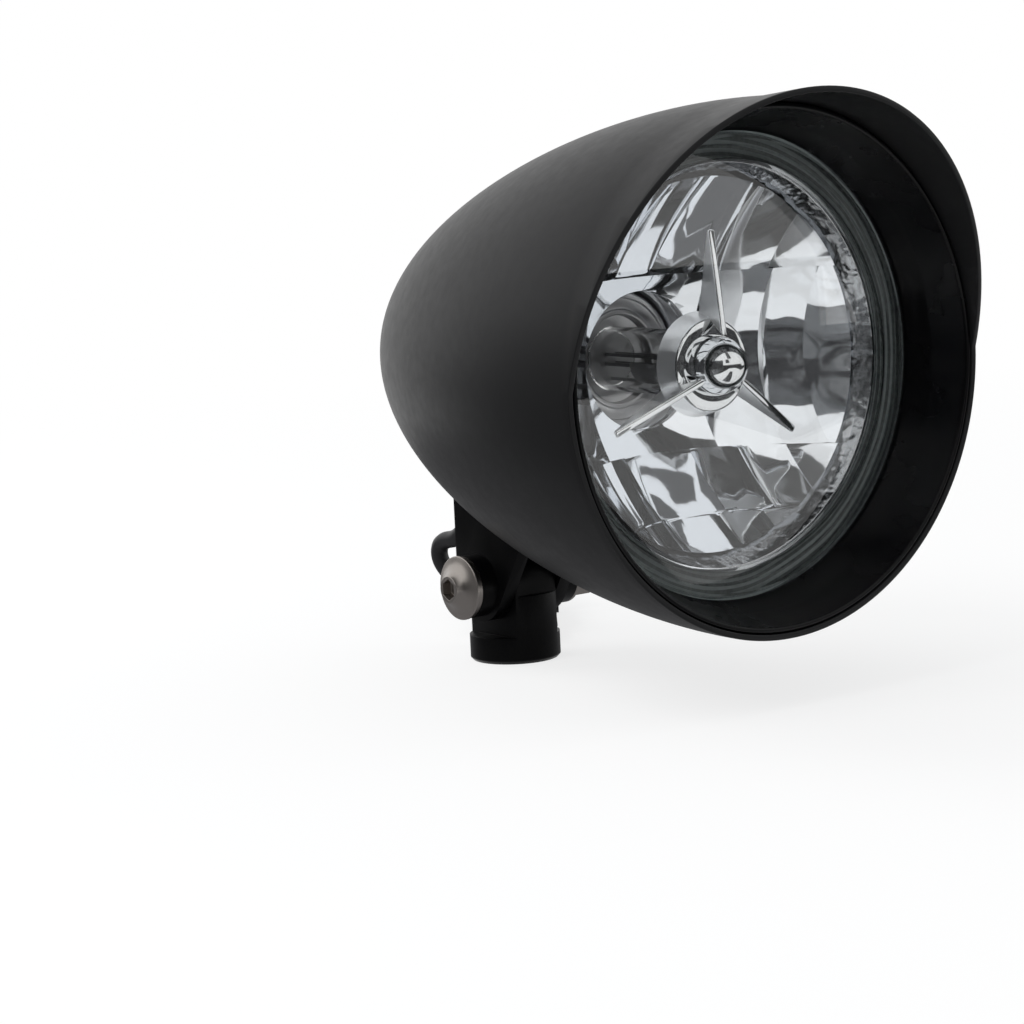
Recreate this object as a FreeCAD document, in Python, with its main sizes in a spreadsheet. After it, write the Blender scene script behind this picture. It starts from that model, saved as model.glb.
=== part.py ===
"""A bullet headlight for a motorcycle, with a peaked visor and a clamped tilting foot.

Frame, in millimetres: X is forward along the lamp's axis, Y is to the left, Z is up.
The origin is the centre of the mounting post's bottom face.
"""
import FreeCAD, Part
import math
import os
import re
import Sketcher
from FreeCAD import Placement, Rotation, Vector

doc = FreeCAD.newDocument("headlight")
sheet = doc.addObject("Spreadsheet::Sheet", "sizes")

# Driving dimensions: name, millimetres or degrees, what it measures
SIZES = [
    ("pivot_height", 21.2, "bolt axis above the post's bottom face"),
    ("axis_rise", 61.9, "lamp axis above the bolt axis"),
    ("shell_front", 112.0, "plane of the shell's lower rim"),
    ("shell_tail", 35.1, "tail of the bullet behind the bolt axis"),
    ("shell_front_fullness", 64.5, "length of the level tangent at the rim"),
    ("shell_tail_fullness", 33.1, "length of the upright tangent at the tail"),
    ("shell_wall", 1.5, "sheet thickness"),
    ("visor_reach", 17.0, "peak's reach past the lower rim"),
    ("visor_flare", 1.7, "peak's spread outside the rim's radius"),
    ("bezel_fit", 0.25, "gap between the bezel ring and the shell"),
    ("bezel_land", 4.0, "length of the bezel's full-width front land"),
    ("bezel_rim", 1.4, "width of the bezel ring's front edge"),
    ("bezel_crease_step", 2.55, "crease inside the front edge"),
    ("bezel_crease_depth", 10.0, "crease behind the rim"),
    ("lens_opening", 57.15, "radius of the clear opening"),
    ("funnel_width", 5.0, "lens opening inside the bezel's front edge"),
    ("lens_opening_depth", 16.5, "lip behind the rim"),
    ("bezel_lip", 1.0, "thickness of the lip over the lens"),
    ("bezel_wall", 1.4, "wall round the lens unit"),
    ("bezel_depth", 28.5, "back edge behind the rim"),
    ("tab_width", 9.0, "retaining tab under the bezel ring"),
    ("tab_thick", 1.6, "its thickness"),
    ("tab_screw_place", 48.0, "tab screw ahead of the bolt axis"),
    ("tab_end", 5.0, "tab behind its screw"),
    ("tab_screw_radius", 1.9, "shank"),
    ("tab_screw_head", 3.3, "head radius"),
    ("tab_screw_head_height", 1.5, "head height"),
    ("tab_screw_grip", 7.0, "shank below the head"),
    ("gasket_thick", 0.8, "rubber between lip and lens"),
    ("lens_overlap", 1.45, "glass behind the lip"),
    ("lens_fit", 0.3, "gap round the lens unit"),
    ("lens_step", 1.3, "glass standing forward through the lip"),
    ("lens_step_gap", 0.5, "gap between the glass and the lip"),
    ("lens_dome", 6.2, "rise of the dome"),
    ("lens_thick", 4.0, "glass at the middle"),
    ("lens_rim_depth", 5.2, "glass rim behind its seat"),
    ("lens_rim_width", 8.6, "thick rim of the glass"),
    ("flange_inset", 0.2, "reflector's flange inside the glass edge"),
    ("mouth_step", 0.5, "bowl's mouth inside the glass rim"),
    ("margin_width", 3.5, "plain margin of the bowl round its flutes"),
    ("row_step", 0.6, "ledge between two rows of flutes"),
    ("reflector_focus", 14.5, "focal length of the bowl"),
    ("reflector_wall", 1.2, "sheet thickness"),
    ("neck_radius", 17.5, "bulb opening"),
    ("neck_length", 6.0, "neck behind the bowl"),
    ("bulb_seat_radius", 26.0, "seat flange behind the neck"),
    ("clip_width", 10.0, "spring clip behind the reflector"),
    ("clip_thick", 0.8, "its strip"),
    ("clip_inset", 4.4, "clip's foot inside the flange's edge"),
    ("hub_radius", 14.0, "cup of the three-armed trim"),
    ("hub_depth", 9.3, "length of the cup"),
    ("hub_wall", 1.3, "cup wall"),
    ("hub_rise", 8.4, "nose ahead of the cup's face"),
    ("nose_radius", 5.6, "round nose"),
    ("glue_gap", 0.2, "bond between the nose and the glass"),
    ("arm_tip", 33.0, "arm length from the axis"),
    ("arm_tip_drop", 3.6, "ridge at the tip behind the cup's face"),
    ("arm_tip_depth", 1.0, "arm's depth at the tip"),
    ("arm_thick", 2.2, "arm's thickness"),
    ("bulb_flange", 21.5, "bulb's seating disc"),
    ("bulb_flange_thick", 1.5, "its thickness"),
    ("collar_fit", 0.3, "gap between the collar and the neck"),
    ("collar_height", 5.2, "collar ahead of the seat"),
    ("collar_bore", 11.2, "recess in the collar"),
    ("collar_recess", 3.0, "depth of the recess"),
    ("bulb_radius", 8.2, "glass tube"),
    ("bulb_wall", 1.0, "its wall"),
    ("bulb_length", 39.0, "tube ahead of the recess's floor"),
    ("shield_radius", 5.6, "dip shield inside the tube"),
    ("shield_thick", 0.4, "its sheet"),
    ("shield_start", 14.0, "shield ahead of the tube's foot"),
    ("shield_length", 10.0, "shield"),
    ("filament_radius", 0.8, "coil"),
    ("filament_length", 5.0, "coil"),
    ("dip_filament_start", 16.0, "first coil ahead of the tube's foot"),
    ("main_filament_start", 26.0, "second coil"),
    ("wire_half", 0.4, "square support wires, half their width"),
    ("base_radius", 11.5, "bulb's base behind the disc"),
    ("base_length", 9.8, "bulb's base"),
    ("blade_length", 11.0, "terminal blades"),
    ("blade_width", 8.0, "terminal blades"),
    ("blade_thick", 0.8, "terminal blades"),
    ("blade_offset", 7.0, "blade from the axis"),
    ("spring_ring", 20.3, "wire spring's ring radius"),
    ("spring_wire", 0.8, "wire radius"),
    ("lug_width", 6.0, "hooks that hold the spring"),
    ("lug_thick", 1.3, "hooks"),
    ("lug_inset", 0.8, "hooks inside the seat flange's edge"),
    ("boot_fit", 0.1, "boot round the seat flange and the base"),
    ("boot_wall", 1.4, "rubber"),
    ("boot_lip", 6.8, "boot's lip along the seat flange"),
    ("boot_sleeve", 3.5, "sleeve round the base"),
    ("plug_gap", 0.4, "plug behind the base"),
    ("plug_length", 15.0, "three-way plug"),
    ("plug_width", 26.0, "plug"),
    ("plug_height", 24.0, "plug"),
    ("plug_corner", 3.0, "plug's edge radius"),
    ("plug_slot_gap", 0.15, "slot round a blade"),
    ("cable_radius", 2.4, "outer radius of the lead"),
    ("grommet_place", 9.0, "cable hole behind the bolt axis"),
    ("grommet_flange", 6.3, "grommet flange radius"),
    ("grommet_lip", 1.5, "flange thickness"),
    ("grommet_waist", 4.3, "radius in the shell's hole"),
    ("grommet_nose", 3.7, "nozzle radius"),
    ("grommet_length", 11.0, "nozzle's end below the shell"),
    ("hole_gap", 0.1, "clearance of a fixed hole"),
    ("hank_heading", 53.13, "degrees from straight left to the hank's way, towards the rear"),
    ("hank_start", 33.0, "hank behind the post's axis"),
    ("hank_length", 72.0, "folded lead"),
    ("hank_width", 24.0, "folded lead"),
    ("hank_lift", 1.0, "hank above the mounting plane, on its tie"),
    ("tie_width", 4.0, "tie round the hank"),
    ("tie_thick", 0.8, "tie"),
    ("connector_length", 20.0, "connector at the lead's end"),
    ("connector_width", 12.0, "connector"),
    ("connector_height", 9.0, "connector"),
    ("connector_corner", 1.2, "connector's edge radius"),
    ("cable_bore_gap", 0.1, "grommet round the lead"),
    ("post_radius", 12.2, "mounting post"),
    ("ledge_height", 7.0, "full round of the post below the tongue"),
    ("tongue_width", 13.6, "flat-sided tongue"),
    ("post_chamfer", 0.8, "lower edge"),
    ("shoulder_height", 18.3, "shoulder below the tongue's round end"),
    ("tongue_radius", 10.4, "round end of the tongue"),
    ("thread_radius", 4.25, "tapped hole in the post"),
    ("thread_depth", 11.0, "its depth"),
    ("side_gap", 0.3, "tongue to each ear"),
    ("ear_thick", 4.0, "bracket ears"),
    ("ear_radius", 9.9, "round end of an ear"),
    ("ear_slope", 32.0, "degrees below level where the ear's front edge leaves its round end"),
    ("ear_edge", 21.0, "length of that front edge"),
    ("boss_radius", 8.4, "boss outside each ear"),
    ("boss_length", 4.9, "boss"),
    ("saddle_thick", 4.0, "web under the shell between the ears"),
    ("saddle_back", 2.0, "web's rear edge behind the bolt axis"),
    ("saddle_gap", 0.1, "paint gap between bracket and shell"),
    ("bracket_screw_first", 3.0, "first screw ahead of the bolt axis"),
    ("bracket_screw_step", 11.0, "second screw ahead of the first"),
    ("bracket_screw_radius", 2.5, "shank"),
    ("bracket_screw_head", 4.6, "head radius"),
    ("bracket_screw_head_height", 2.8, "head height"),
    ("bolt_radius", 4.0, "pivot bolt"),
    ("bolt_fit", 0.05, "running fit of the bolt"),
    ("bolt_head_radius", 8.6, "flange of the button head"),
    ("bolt_flange", 1.0, "its thickness"),
    ("bolt_dome", 7.7, "dome where it meets the flange"),
    ("bolt_head_height", 4.4, "button head"),
    ("bolt_crown", 3.6, "flat crown radius of the head"),
    ("bolt_hex", 2.89, "hexagon socket, corner radius"),
    ("bolt_hex_depth", 2.8, "socket depth"),
    ("bolt_past_nut", 1.5, "bolt end past the nut"),
    ("washer_radius", 8.4, "washers"),
    ("washer_thick", 1.0, "washers"),
    ("nut_corner", 7.5, "nut, corner radius"),
    ("nut_height", 6.5, "nut"),
]

sheet.set("A1", "what it measures")
sheet.set("B1", "value")
for row, (name, number, meaning) in enumerate(SIZES, start=2):
    sheet.set(f"A{row}", meaning)
    sheet.set(f"B{row}", str(number))
    sheet.setAlias(f"B{row}", name)
doc.recompute()
NAMES = {name for name, _, _ in SIZES}

# Places that several pieces share, as expressions of the driving dimensions
PLACES = {
    "axis_height": "(pivot_height + axis_rise)",
    "bezel_mouth": "(lens_opening + funnel_width)",
    "bezel_crease": "(bezel_mouth - bezel_crease_step)",
    "shell_radius": "(bezel_mouth + bezel_rim + bezel_fit + shell_wall)",
    "lens_radius": "(lens_opening + lens_overlap)",
    "lens_bore": "(lens_radius - lens_rim_width)",
    "reflector_flange": "(lens_radius - flange_inset)",
    "reflector_mouth": "(lens_bore - mouth_step)",
    "clip_foot": "(reflector_flange - clip_inset)",
    "lip_front": "(shell_front - lens_opening_depth)",
    "lens_seat": "(lip_front - bezel_lip - gasket_thick)",
    "glass_edge": "(lens_seat + lens_step)",
    "glass_apex": "(glass_edge + lens_dome)",
    "glass_back": "(lens_seat - lens_rim_depth)",
    "bezel_back": "(shell_front - bezel_depth)",
    "pocket": "(lens_radius + lens_fit)",
    "neck_front": "(glass_back - (reflector_mouth ^ 2 - neck_radius ^ 2) / (4 * reflector_focus))",
    "bulb_seat": "(neck_front - neck_length - reflector_wall)",
    "flange_back": "(bulb_seat - bulb_flange_thick)",
    "collar_front": "(bulb_seat + collar_height)",
    "tube_foot": "(collar_front - collar_recess)",
    "base_back": "(flange_back - base_length)",
    "nose_tip": "(glass_apex - lens_thick - glue_gap)",
    "spring_reach": "(bulb_seat_radius - lug_inset - lug_thick - spring_ring)",
    "hub_face": "(nose_tip - hub_rise)",
    "hub_back": "(hub_face - hub_depth)",
    "ear_inner": "(tongue_width / 2 + side_gap)",
    "ear_outer": "(ear_inner + ear_thick)",
    "boss_face": "(ear_outer + boss_length)",
    "head_seat": "(boss_face + washer_thick)",
}


def spelled(expression):
    """The expression with shared places written out and sheet cells named in full."""
    word = re.compile(r"[a-z_]+")
    while any(w in PLACES for w in word.findall(expression)):
        expression = word.sub(lambda m: PLACES.get(m[0], m[0]), expression)
    return word.sub(lambda m: f"sizes.{m[0]}" if m[0] in NAMES else m[0], expression)


def bind(thing, **properties):
    """Tie properties to expressions; two underscores stand for the dot in a property's path."""
    for name, expression in properties.items():
        thing.setExpression(name.replace("__", "."), spelled(expression))


def size(expression):
    """The expression's present value."""
    return float(sheet.evalExpression(spelled(expression)))


pieces = {}


def finish(label, thing):
    """Make this object the named piece."""
    thing.Label = label
    pieces[label] = thing
    return thing


# Sketched bodies


def outline_sketch(body, label, plane, corners):
    """A closed outline of straight lines and arcs on one of the body's own planes.

    A corner is (across, up) or (across, up, radius), where the radius makes the next edge an arc
    that bulges to the left of its way; a minus sign before the radius makes it bulge to the right.
    """
    sketch = body.newObject("Sketcher::SketchObject", label)
    support = next(f for f in body.Origin.OriginFeatures if f.Role == plane)
    sketch.AttachmentSupport = [(support, "")]
    sketch.MapMode = "FlatFace"
    points = [Vector(size(c[0]), size(c[1]), 0) for c in corners]
    ends = []
    for number, corner in enumerate(corners):
        start, end = points[number], points[(number + 1) % len(points)]
        if len(corner) == 2:
            sketch.addGeometry(Part.LineSegment(start, end))
            ends.append((1, 2))
            continue
        side = -1 if corner[2].startswith("-") else 1
        radius = size(corner[2].lstrip("-"))
        chord = end - start
        sagitta = radius - math.sqrt(max(radius ** 2 - chord.Length ** 2 / 4, 0))
        left = Vector(-chord.y, chord.x, 0).normalize()
        crest = (start + end) / 2 + left * sagitta * side
        if side > 0:
            sketch.addGeometry(Part.Arc(end, crest, start))
            ends.append((2, 1))
        else:
            sketch.addGeometry(Part.Arc(start, crest, end))
            ends.append((1, 2))
    for number, corner in enumerate(corners):
        following = (number + 1) % len(corners)
        sketch.addConstraint(
            Sketcher.Constraint("Coincident", number, ends[number][1], following, ends[following][0]))
        pin(sketch, number, ends[number][0], "DistanceX", f"across{number}", corner[0], -2)
        pin(sketch, number, ends[number][0], "DistanceY", f"up{number}", corner[1], -1)
        if len(corner) == 3:
            radius = corner[2].lstrip("-")
            index = sketch.addConstraint(Sketcher.Constraint("Radius", number, size(radius)))
            sketch.renameConstraint(index, f"radius{number}")
            sketch.setExpression(f"Constraints.radius{number}", spelled(radius))
    return sketch


def pin(sketch, edge, end, kind, name, expression, axis):
    """Hold one end of an edge at a distance from the sketch's origin, or on its axis."""
    if expression == "0":
        sketch.addConstraint(Sketcher.Constraint("PointOnObject", edge, end, axis))
        return
    index = sketch.addConstraint(Sketcher.Constraint(kind, -1, 1, edge, end, size(expression)))
    sketch.renameConstraint(index, name)
    sketch.setExpression(f"Constraints.{name}", spelled(expression))


TURNING = {"x": ("XZ_Plane", "H_Axis"), "y": ("YZ_Plane", "H_Axis"), "z": ("XZ_Plane", "V_Axis")}


def turned(label, corners, height="axis_height", about="x"):
    """A body turned about the lamp's axis, the bolt's or the post's."""
    body = doc.addObject("PartDesign::Body", label)
    plane, axis = TURNING[about]
    sketch = outline_sketch(body, label + "_outline", plane, corners)
    turn = body.newObject("PartDesign::Revolution", label + "_turn")
    turn.Profile = sketch
    turn.ReferenceAxis = (sketch, [axis])
    turn.Angle = 360
    body.Tip = turn
    if height != "0":
        bind(body, Placement__Base__z=height)
    return body


def plate(label, corners, thickness, height="axis_height", middle="0"):
    """A flat body cut to an outline in the XZ plane, with its middle at some Y."""
    body = doc.addObject("PartDesign::Body", label)
    sketch = outline_sketch(body, label + "_outline", "XZ_Plane", corners)
    pad = body.newObject("PartDesign::Pad", label + "_pad")
    pad.Profile = sketch
    pad.Midplane = True
    bind(pad, Length=thickness)
    body.Tip = pad
    if height != "0":
        bind(body, Placement__Base__z=height)
    if middle != "0":
        bind(body, Placement__Base__y=middle)
    return body


# Primitives and booleans


def rod(label, radius, length, place, direction=Vector(0, 0, 1)):
    """A cylinder from a place, which is three expressions."""
    thing = doc.addObject("Part::Cylinder", label)
    thing.Placement = Placement(Vector(), Rotation(Vector(0, 0, 1), direction))
    bind(thing, Radius=radius, Height=length)
    bind(thing, Placement__Base__x=place[0], Placement__Base__y=place[1], Placement__Base__z=place[2])
    return thing


def block(label, lengths, corner):
    """A box with its lowest corner at a place."""
    thing = doc.addObject("Part::Box", label)
    bind(thing, Length=lengths[0], Width=lengths[1], Height=lengths[2])
    bind(thing, Placement__Base__x=corner[0], Placement__Base__y=corner[1], Placement__Base__z=corner[2])
    return thing


def cut(label, base, tool):
    thing = doc.addObject("Part::Cut", label)
    thing.Base, thing.Tool = base, tool
    return thing


def common(label, first, second):
    thing = doc.addObject("Part::Common", label)
    thing.Base, thing.Tool = first, second
    return thing


def fuse(label, things):
    thing = doc.addObject("Part::MultiFuse", label)
    thing.Shapes = things
    return thing


def group(label, things):
    """Like pieces that share a node as separate solids."""
    thing = doc.addObject("Part::Compound", label)
    thing.Links = things
    return thing


def shaped(label, shape, placement=None):
    """A piece whose form is worked out below from the sheet's values."""
    thing = doc.addObject("Part::Feature", label)
    thing.Shape = shape
    if placement:
        thing.Placement = placement
    return thing


# The bullet's form


def bullet_poles(growth=0.0):
    """Control points of the bullet's outline, as (x, radius), grown outward by some amount."""
    front, tail = size("shell_front"), -size("shell_tail") - growth
    radius = size("shell_radius") + growth
    return [
        Vector(front, 0, radius),
        Vector(front - size("shell_front_fullness"), 0, radius),
        Vector(tail, 0, size("shell_tail_fullness") + growth),
        Vector(tail, 0, 0),
    ]


def bullet_curve(growth=0.0):
    curve = Part.BezierCurve()
    curve.setPoles(bullet_poles(growth))
    return curve


def bullet(growth, reach):
    """A solid bullet, grown outward, that runs on forward past the rim as a slightly flared cone."""
    front, _, _, tail = bullet_poles(growth)
    spread = reach * size("visor_flare / visor_reach")
    rim, middle = front + Vector(reach, 0, spread), Vector(front.x + reach, 0, 0)
    edges = [
        bullet_curve(growth).toShape(),
        Part.makeLine(tail, middle),
        Part.makeLine(middle, rim),
        Part.makeLine(rim, front),
    ]
    solid = Part.Face(Part.Wire(edges)).revolve(Vector(), Vector(1, 0, 0), 360)
    solid.translate(Vector(0, 0, size("axis_height")))
    return solid


def bullet_at(place):
    """The bullet's outer radius at a place along the axis, and the outline's slope there."""
    curve = bullet_curve()
    low, high = 0.0, 1.0
    for _ in range(50):
        middle = (low + high) / 2
        if curve.value(middle).x > place:
            low = middle
        else:
            high = middle
    tangent = curve.tangent(low)[0]
    return curve.value(low).z, tangent.z / tangent.x


def under_shell(place):
    """A placement on the shell's underside, its own Z pointing straight out of the sheet."""
    radius, slope = bullet_at(place)
    outward = Vector(-slope, 0, -1)
    return Placement(Vector(place, 0, size("axis_height") - radius), Rotation(Vector(0, 0, 1), outward))


def bow(radius, place):
    """How far the sheet bows away from a flat disc of some radius that lies against its inside."""
    return radius ** 2 / (2 * bullet_at(place)[0]) + size("bolt_fit")


def stepped(rounds):
    """Cylinders in a row along Z: each is (radius, from, to)."""
    solids = [Part.makeCylinder(r, top - foot, Vector(0, 0, foot)) for r, foot, top in rounds]
    return solids[0].multiFuse(solids[1:]) if len(solids) > 1 else solids[0]


# The shell: one spun bullet, cut upright below the axis and slanting forward above it

REACH_SPARE = 1.5
visor = REACH_SPARE * size("visor_reach")
tall = REACH_SPARE * size("shell_radius")
mouth_x, axis_z = size("shell_front"), size("axis_height")
far_x = mouth_x + 2 * visor
wedge_corners = [(mouth_x, -tall), (mouth_x, 0), (mouth_x + visor, tall), (far_x, tall), (far_x, -tall)]
wedge_points = [Vector(x, -tall, axis_z + z) for x, z in wedge_corners]
wedge = Part.Face(Part.makePolygon(wedge_points + wedge_points[:1])).extrude(Vector(0, 2 * tall, 0))
cable_place = under_shell(-size("grommet_place"))
tab_place = under_shell(size("tab_screw_place"))
screw_starts = [size("bracket_screw_first"), size("bracket_screw_first + bracket_screw_step")]
screw_places = [under_shell(start) for start in screw_starts]


def hole(radius, placement):
    """A straight hole through the sheet at a place under the shell."""
    deep = 4 * size("shell_wall")
    tool = Part.makeCylinder(radius, 2 * deep, Vector(0, 0, -deep))
    tool.Placement = placement
    return tool


holes = [hole(size("grommet_waist + hole_gap"), cable_place)]
holes.append(hole(size("tab_screw_radius + hole_gap"), tab_place))
holes += [hole(size("bracket_screw_radius + hole_gap"), place) for place in screw_places]
shell_solid = bullet(0.0, visor).cut(bullet(-size("shell_wall"), visor)).cut(wedge)
for tool in holes:
    shell_solid = shell_solid.cut(tool)
finish("shell", shaped("shell", shell_solid))

# The bezel ring: a funnel from the mouth to the lens, a wall round the lens unit and a tab below

land_radius = "(shell_radius - shell_wall - bezel_fit)"
ring = turned("bezel_turned", [
    ("shell_front", "bezel_mouth"),
    ("shell_front", land_radius),
    ("shell_front - bezel_land", land_radius),
    ("lip_front - bezel_lip", "pocket + bezel_wall"),
    ("bezel_back", "pocket + bezel_wall"),
    ("bezel_back", "pocket"),
    ("lip_front - bezel_lip", "pocket"),
    ("lip_front - bezel_lip", "lens_opening"),
    ("lip_front", "lens_opening"),
    ("shell_front - bezel_crease_depth", "bezel_crease"),
])
tab_foot = size("tab_screw_place - tab_end")
tab_low = bullet_at(tab_foot)[0] - size("shell_wall + bezel_fit")
tab_high = size("pocket + bezel_wall")
tab_corners = [
    (size("bezel_back + bezel_wall"), tab_high),
    (tab_foot, tab_low),
    (tab_foot, tab_low - size("tab_thick")),
    (size("bezel_back + bezel_wall"), tab_high - size("bezel_wall")),
]
tab_points = [Vector(x, -size("tab_width") / 2, axis_z - r) for x, r in tab_corners]
tab = Part.Face(Part.makePolygon(tab_points + tab_points[:1])).extrude(Vector(0, size("tab_width"), 0))
tab = tab.cut(hole(size("tab_screw_radius + hole_gap"), tab_place))
finish("bezel_ring", fuse("bezel_fused", [ring, shaped("bezel_tab", tab)]))

tab_screw = stepped([
    (size("tab_screw_head"), 0, size("tab_screw_head_height")),
    (size("tab_screw_radius"), -size("tab_screw_grip"), 0),
])
finish("bezel_screw", shaped("bezel_screw", tab_screw, tab_place))

# The lens unit

finish("lens_gasket", turned("lens_gasket", [
    ("lens_seat", "lens_opening + lens_step_gap"),
    ("lens_seat", "lens_radius"),
    ("lens_seat + gasket_thick", "lens_radius"),
    ("lens_seat + gasket_thick", "lens_opening + lens_step_gap"),
]))

dome_edge = "(lens_opening - lens_step_gap)"
dome_radius = f"(({dome_edge} ^ 2 + lens_dome ^ 2) / (2 * lens_dome))"
inner_radius = f"({dome_radius} - lens_thick)"
inner_edge = f"(glass_apex - {dome_radius} + sqrt({inner_radius} ^ 2 - lens_bore ^ 2))"
finish("lens_glass", turned("lens_glass", [
    ("glass_apex - lens_thick", "0"),
    ("glass_apex", "0", "-" + dome_radius),
    ("glass_edge", dome_edge),
    ("lens_seat", dome_edge),
    ("lens_seat", "lens_radius"),
    ("glass_back", "lens_radius"),
    ("glass_back", "lens_bore"),
    (inner_edge, "lens_bore", inner_radius),
]))


wall = size("reflector_wall")
mouth, neck, seat = size("reflector_mouth"), size("neck_radius"), size("bulb_seat")
glass_back, flange = size("glass_back"), size("reflector_flange")
latus = size("4 * reflector_focus")
vertex = glass_back - mouth ** 2 / latus


def parabola(low, high):
    """The bowl's outline between two distances from its axis, as a curve's three poles."""
    pairs = [(low, low), (low, high), (high, high)]
    return [Vector(vertex + a * b / latus, 0, (a + b) / 2) for a, b in pairs]


def curve_edge(poles):
    curve = Part.BezierCurve()
    curve.setPoles(poles)
    return curve.toShape()


def along(points):
    """Straight edges through (x, radius) points."""
    ends = [Vector(x, 0, r) for x, r in points]
    return [Part.makeLine(a, b) for a, b in zip(ends, ends[1:])]


def spun(edges):
    """A solid turned about the X axis from the edges of half its section."""
    return Part.Face(Part.Wire(Part.__sortEdges__(edges))).revolve(Vector(), Vector(1, 0, 0), 360)


outer_poles = [pole + Vector(-wall, 0, wall) for pole in parabola(neck, mouth)]
front_path = [
    (glass_back, 0),
    (glass_back, flange),
    (glass_back - wall, flange),
    (outer_poles[2].x, outer_poles[2].z),
]
neck_path = [
    (outer_poles[0].x, outer_poles[0].z),
    (seat + wall, neck + wall),
    (seat + wall, size("bulb_seat_radius")),
    (seat, size("bulb_seat_radius")),
    (seat, 0),
    (glass_back, 0),
]
bowl = spun([curve_edge(outer_poles)] + along(front_path) + along(neck_path))

# Rows of flutes, as shares of the mouth's radius: lower and upper edge, then the lines between flutes
FLUTE_ROWS = [
    (-1.00, -0.78, (-0.40, -0.15, 0.15, 0.40)),
    (-0.78, -0.48, (-0.65, -0.43, -0.23, 0.23, 0.43, 0.65)),
    (-0.48, 0.44, (-0.79, -0.63, -0.36, 0.36, 0.63, 0.79)),
    (0.44, 1.00, (-0.78, -0.50, -0.22, 0.06, 0.34, 0.62)),
]


def flute_air(low, high, left, right, forward):
    """The air ahead of one flute, which is a parabola upright and straight across."""
    offset = Vector(forward + left ** 2 / latus, left, 0)
    foot, bend, top = [pole + offset for pole in parabola(low, high)]
    ahead = Vector(mouth, 0, 0)
    corners = [top, top + ahead, foot + ahead, foot]
    edges = [curve_edge([foot, bend, top])] + [Part.makeLine(a, b) for a, b in zip(corners, corners[1:])]
    across = Vector((right ** 2 - left ** 2) / latus, right - left, 0)
    return Part.Face(Part.Wire(Part.__sortEdges__(edges))).extrude(across)


flute_edge = mouth - size("margin_width")
flutes = []
for row, (low, high, lines) in enumerate(FLUTE_ROWS):
    sides = [-1.0, *lines, 1.0]
    forward = size("row_step") * (row % 2)
    for left, right in zip(sides, sides[1:]):
        flutes.append(flute_air(low * mouth, high * mouth, left * mouth, right * mouth, forward))
inside = Part.makeCylinder(flute_edge, 2 * mouth, Vector(vertex, 0, 0), Vector(1, 0, 0))
margin_foot = vertex + flute_edge ** 2 / latus
margin = spun(along([
    (margin_foot, 0), (margin_foot, flute_edge), (glass_back, mouth), (glass_back + wall, mouth),
    (glass_back + wall, 0), (margin_foot, 0)]))
neck_air = Part.makeCylinder(neck, mouth, Vector(seat - wall, 0, 0), Vector(1, 0, 0))
bowl = bowl.cut([flute.common(inside) for flute in flutes] + [margin, neck_air])
lug_column = size("spring_ring + spring_reach")
lug_lip = size("flange_back - 2 * spring_wire") - size("hole_gap")
lug_thick, lug_width = size("lug_thick"), size("lug_width")
for side in (1, -1):
    column = Part.makeBox(seat - lug_lip + lug_thick, lug_thick, lug_width,
                          Vector(lug_lip - lug_thick, lug_column, -lug_width / 2))
    lip = Part.makeBox(lug_thick, lug_thick + size("spring_reach") / 2, lug_width,
                       Vector(lug_lip - lug_thick, lug_column - size("spring_reach") / 2, -lug_width / 2))
    lug = column.fuse(lip)
    bowl = bowl.fuse(lug if side > 0 else lug.rotated(Vector(), Vector(1, 0, 0), 180))
bowl.translate(Vector(0, 0, axis_z))
finish("reflector", shaped("reflector", bowl))

flange_rear = "(glass_back - reflector_wall)"
clip = plate("clip_strip", [
    ("bezel_back - clip_thick", "clip_foot"),
    (flange_rear, "clip_foot"),
    (flange_rear, "clip_foot + clip_thick"),
    ("bezel_back", "clip_foot + clip_thick"),
    ("bezel_back", "pocket + bezel_wall"),
    ("bezel_back - clip_thick", "pocket + bezel_wall"),
], "clip_width")
doc.recompute()
CLIP_TURNS = (0, 120, 240)
clips = [clip.Shape.rotated(Vector(0, 0, axis_z), Vector(1, 0, 0), turn) for turn in CLIP_TURNS]
finish("reflector_clips", shaped("reflector_clips", Part.makeCompound(clips)))

# The three-armed trim: a cup over the bulb's tip with a domed face, a round nose and tapering arms

face_radius = "(hub_radius - hub_wall)"
nose_foot = "(nose_tip - nose_radius)"
hub = turned("trim_tribar", [
    ("hub_back", "hub_radius"),
    ("hub_back", face_radius),
    ("hub_face - hub_wall", face_radius),
    ("hub_face - hub_wall", "0"),
    ("nose_tip", "0", "-nose_radius"),
    (nose_foot, "nose_radius", face_radius),
    ("hub_face", face_radius),
    ("hub_face", "hub_radius"),
])
arm_front = "(hub_face + hub_rise / 2)"
arm_sketch = outline_sketch(hub, "arm_outline", "XZ_Plane", [
    ("hub_back + hub_wall / 2", face_radius),
    ("hub_face - hub_wall / 2", face_radius),
    (arm_front, "nose_radius + hub_wall"),
    ("hub_face - arm_tip_drop", "arm_tip"),
    ("hub_face - arm_tip_drop - arm_tip_depth", "arm_tip"),
])
arm = hub.newObject("PartDesign::Pad", "arm_pad")
arm.Profile = arm_sketch
arm.Midplane = True
bind(arm, Length="arm_thick")
arms = hub.newObject("PartDesign::PolarPattern", "arms")
arms.Originals = [arm]
arms.Axis = (arm_sketch, ["H_Axis"])
arms.Angle = 360
arms.Occurrences = 3
hub.Tip = arms
finish("trim_tribar", hub)

# The bulb

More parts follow.
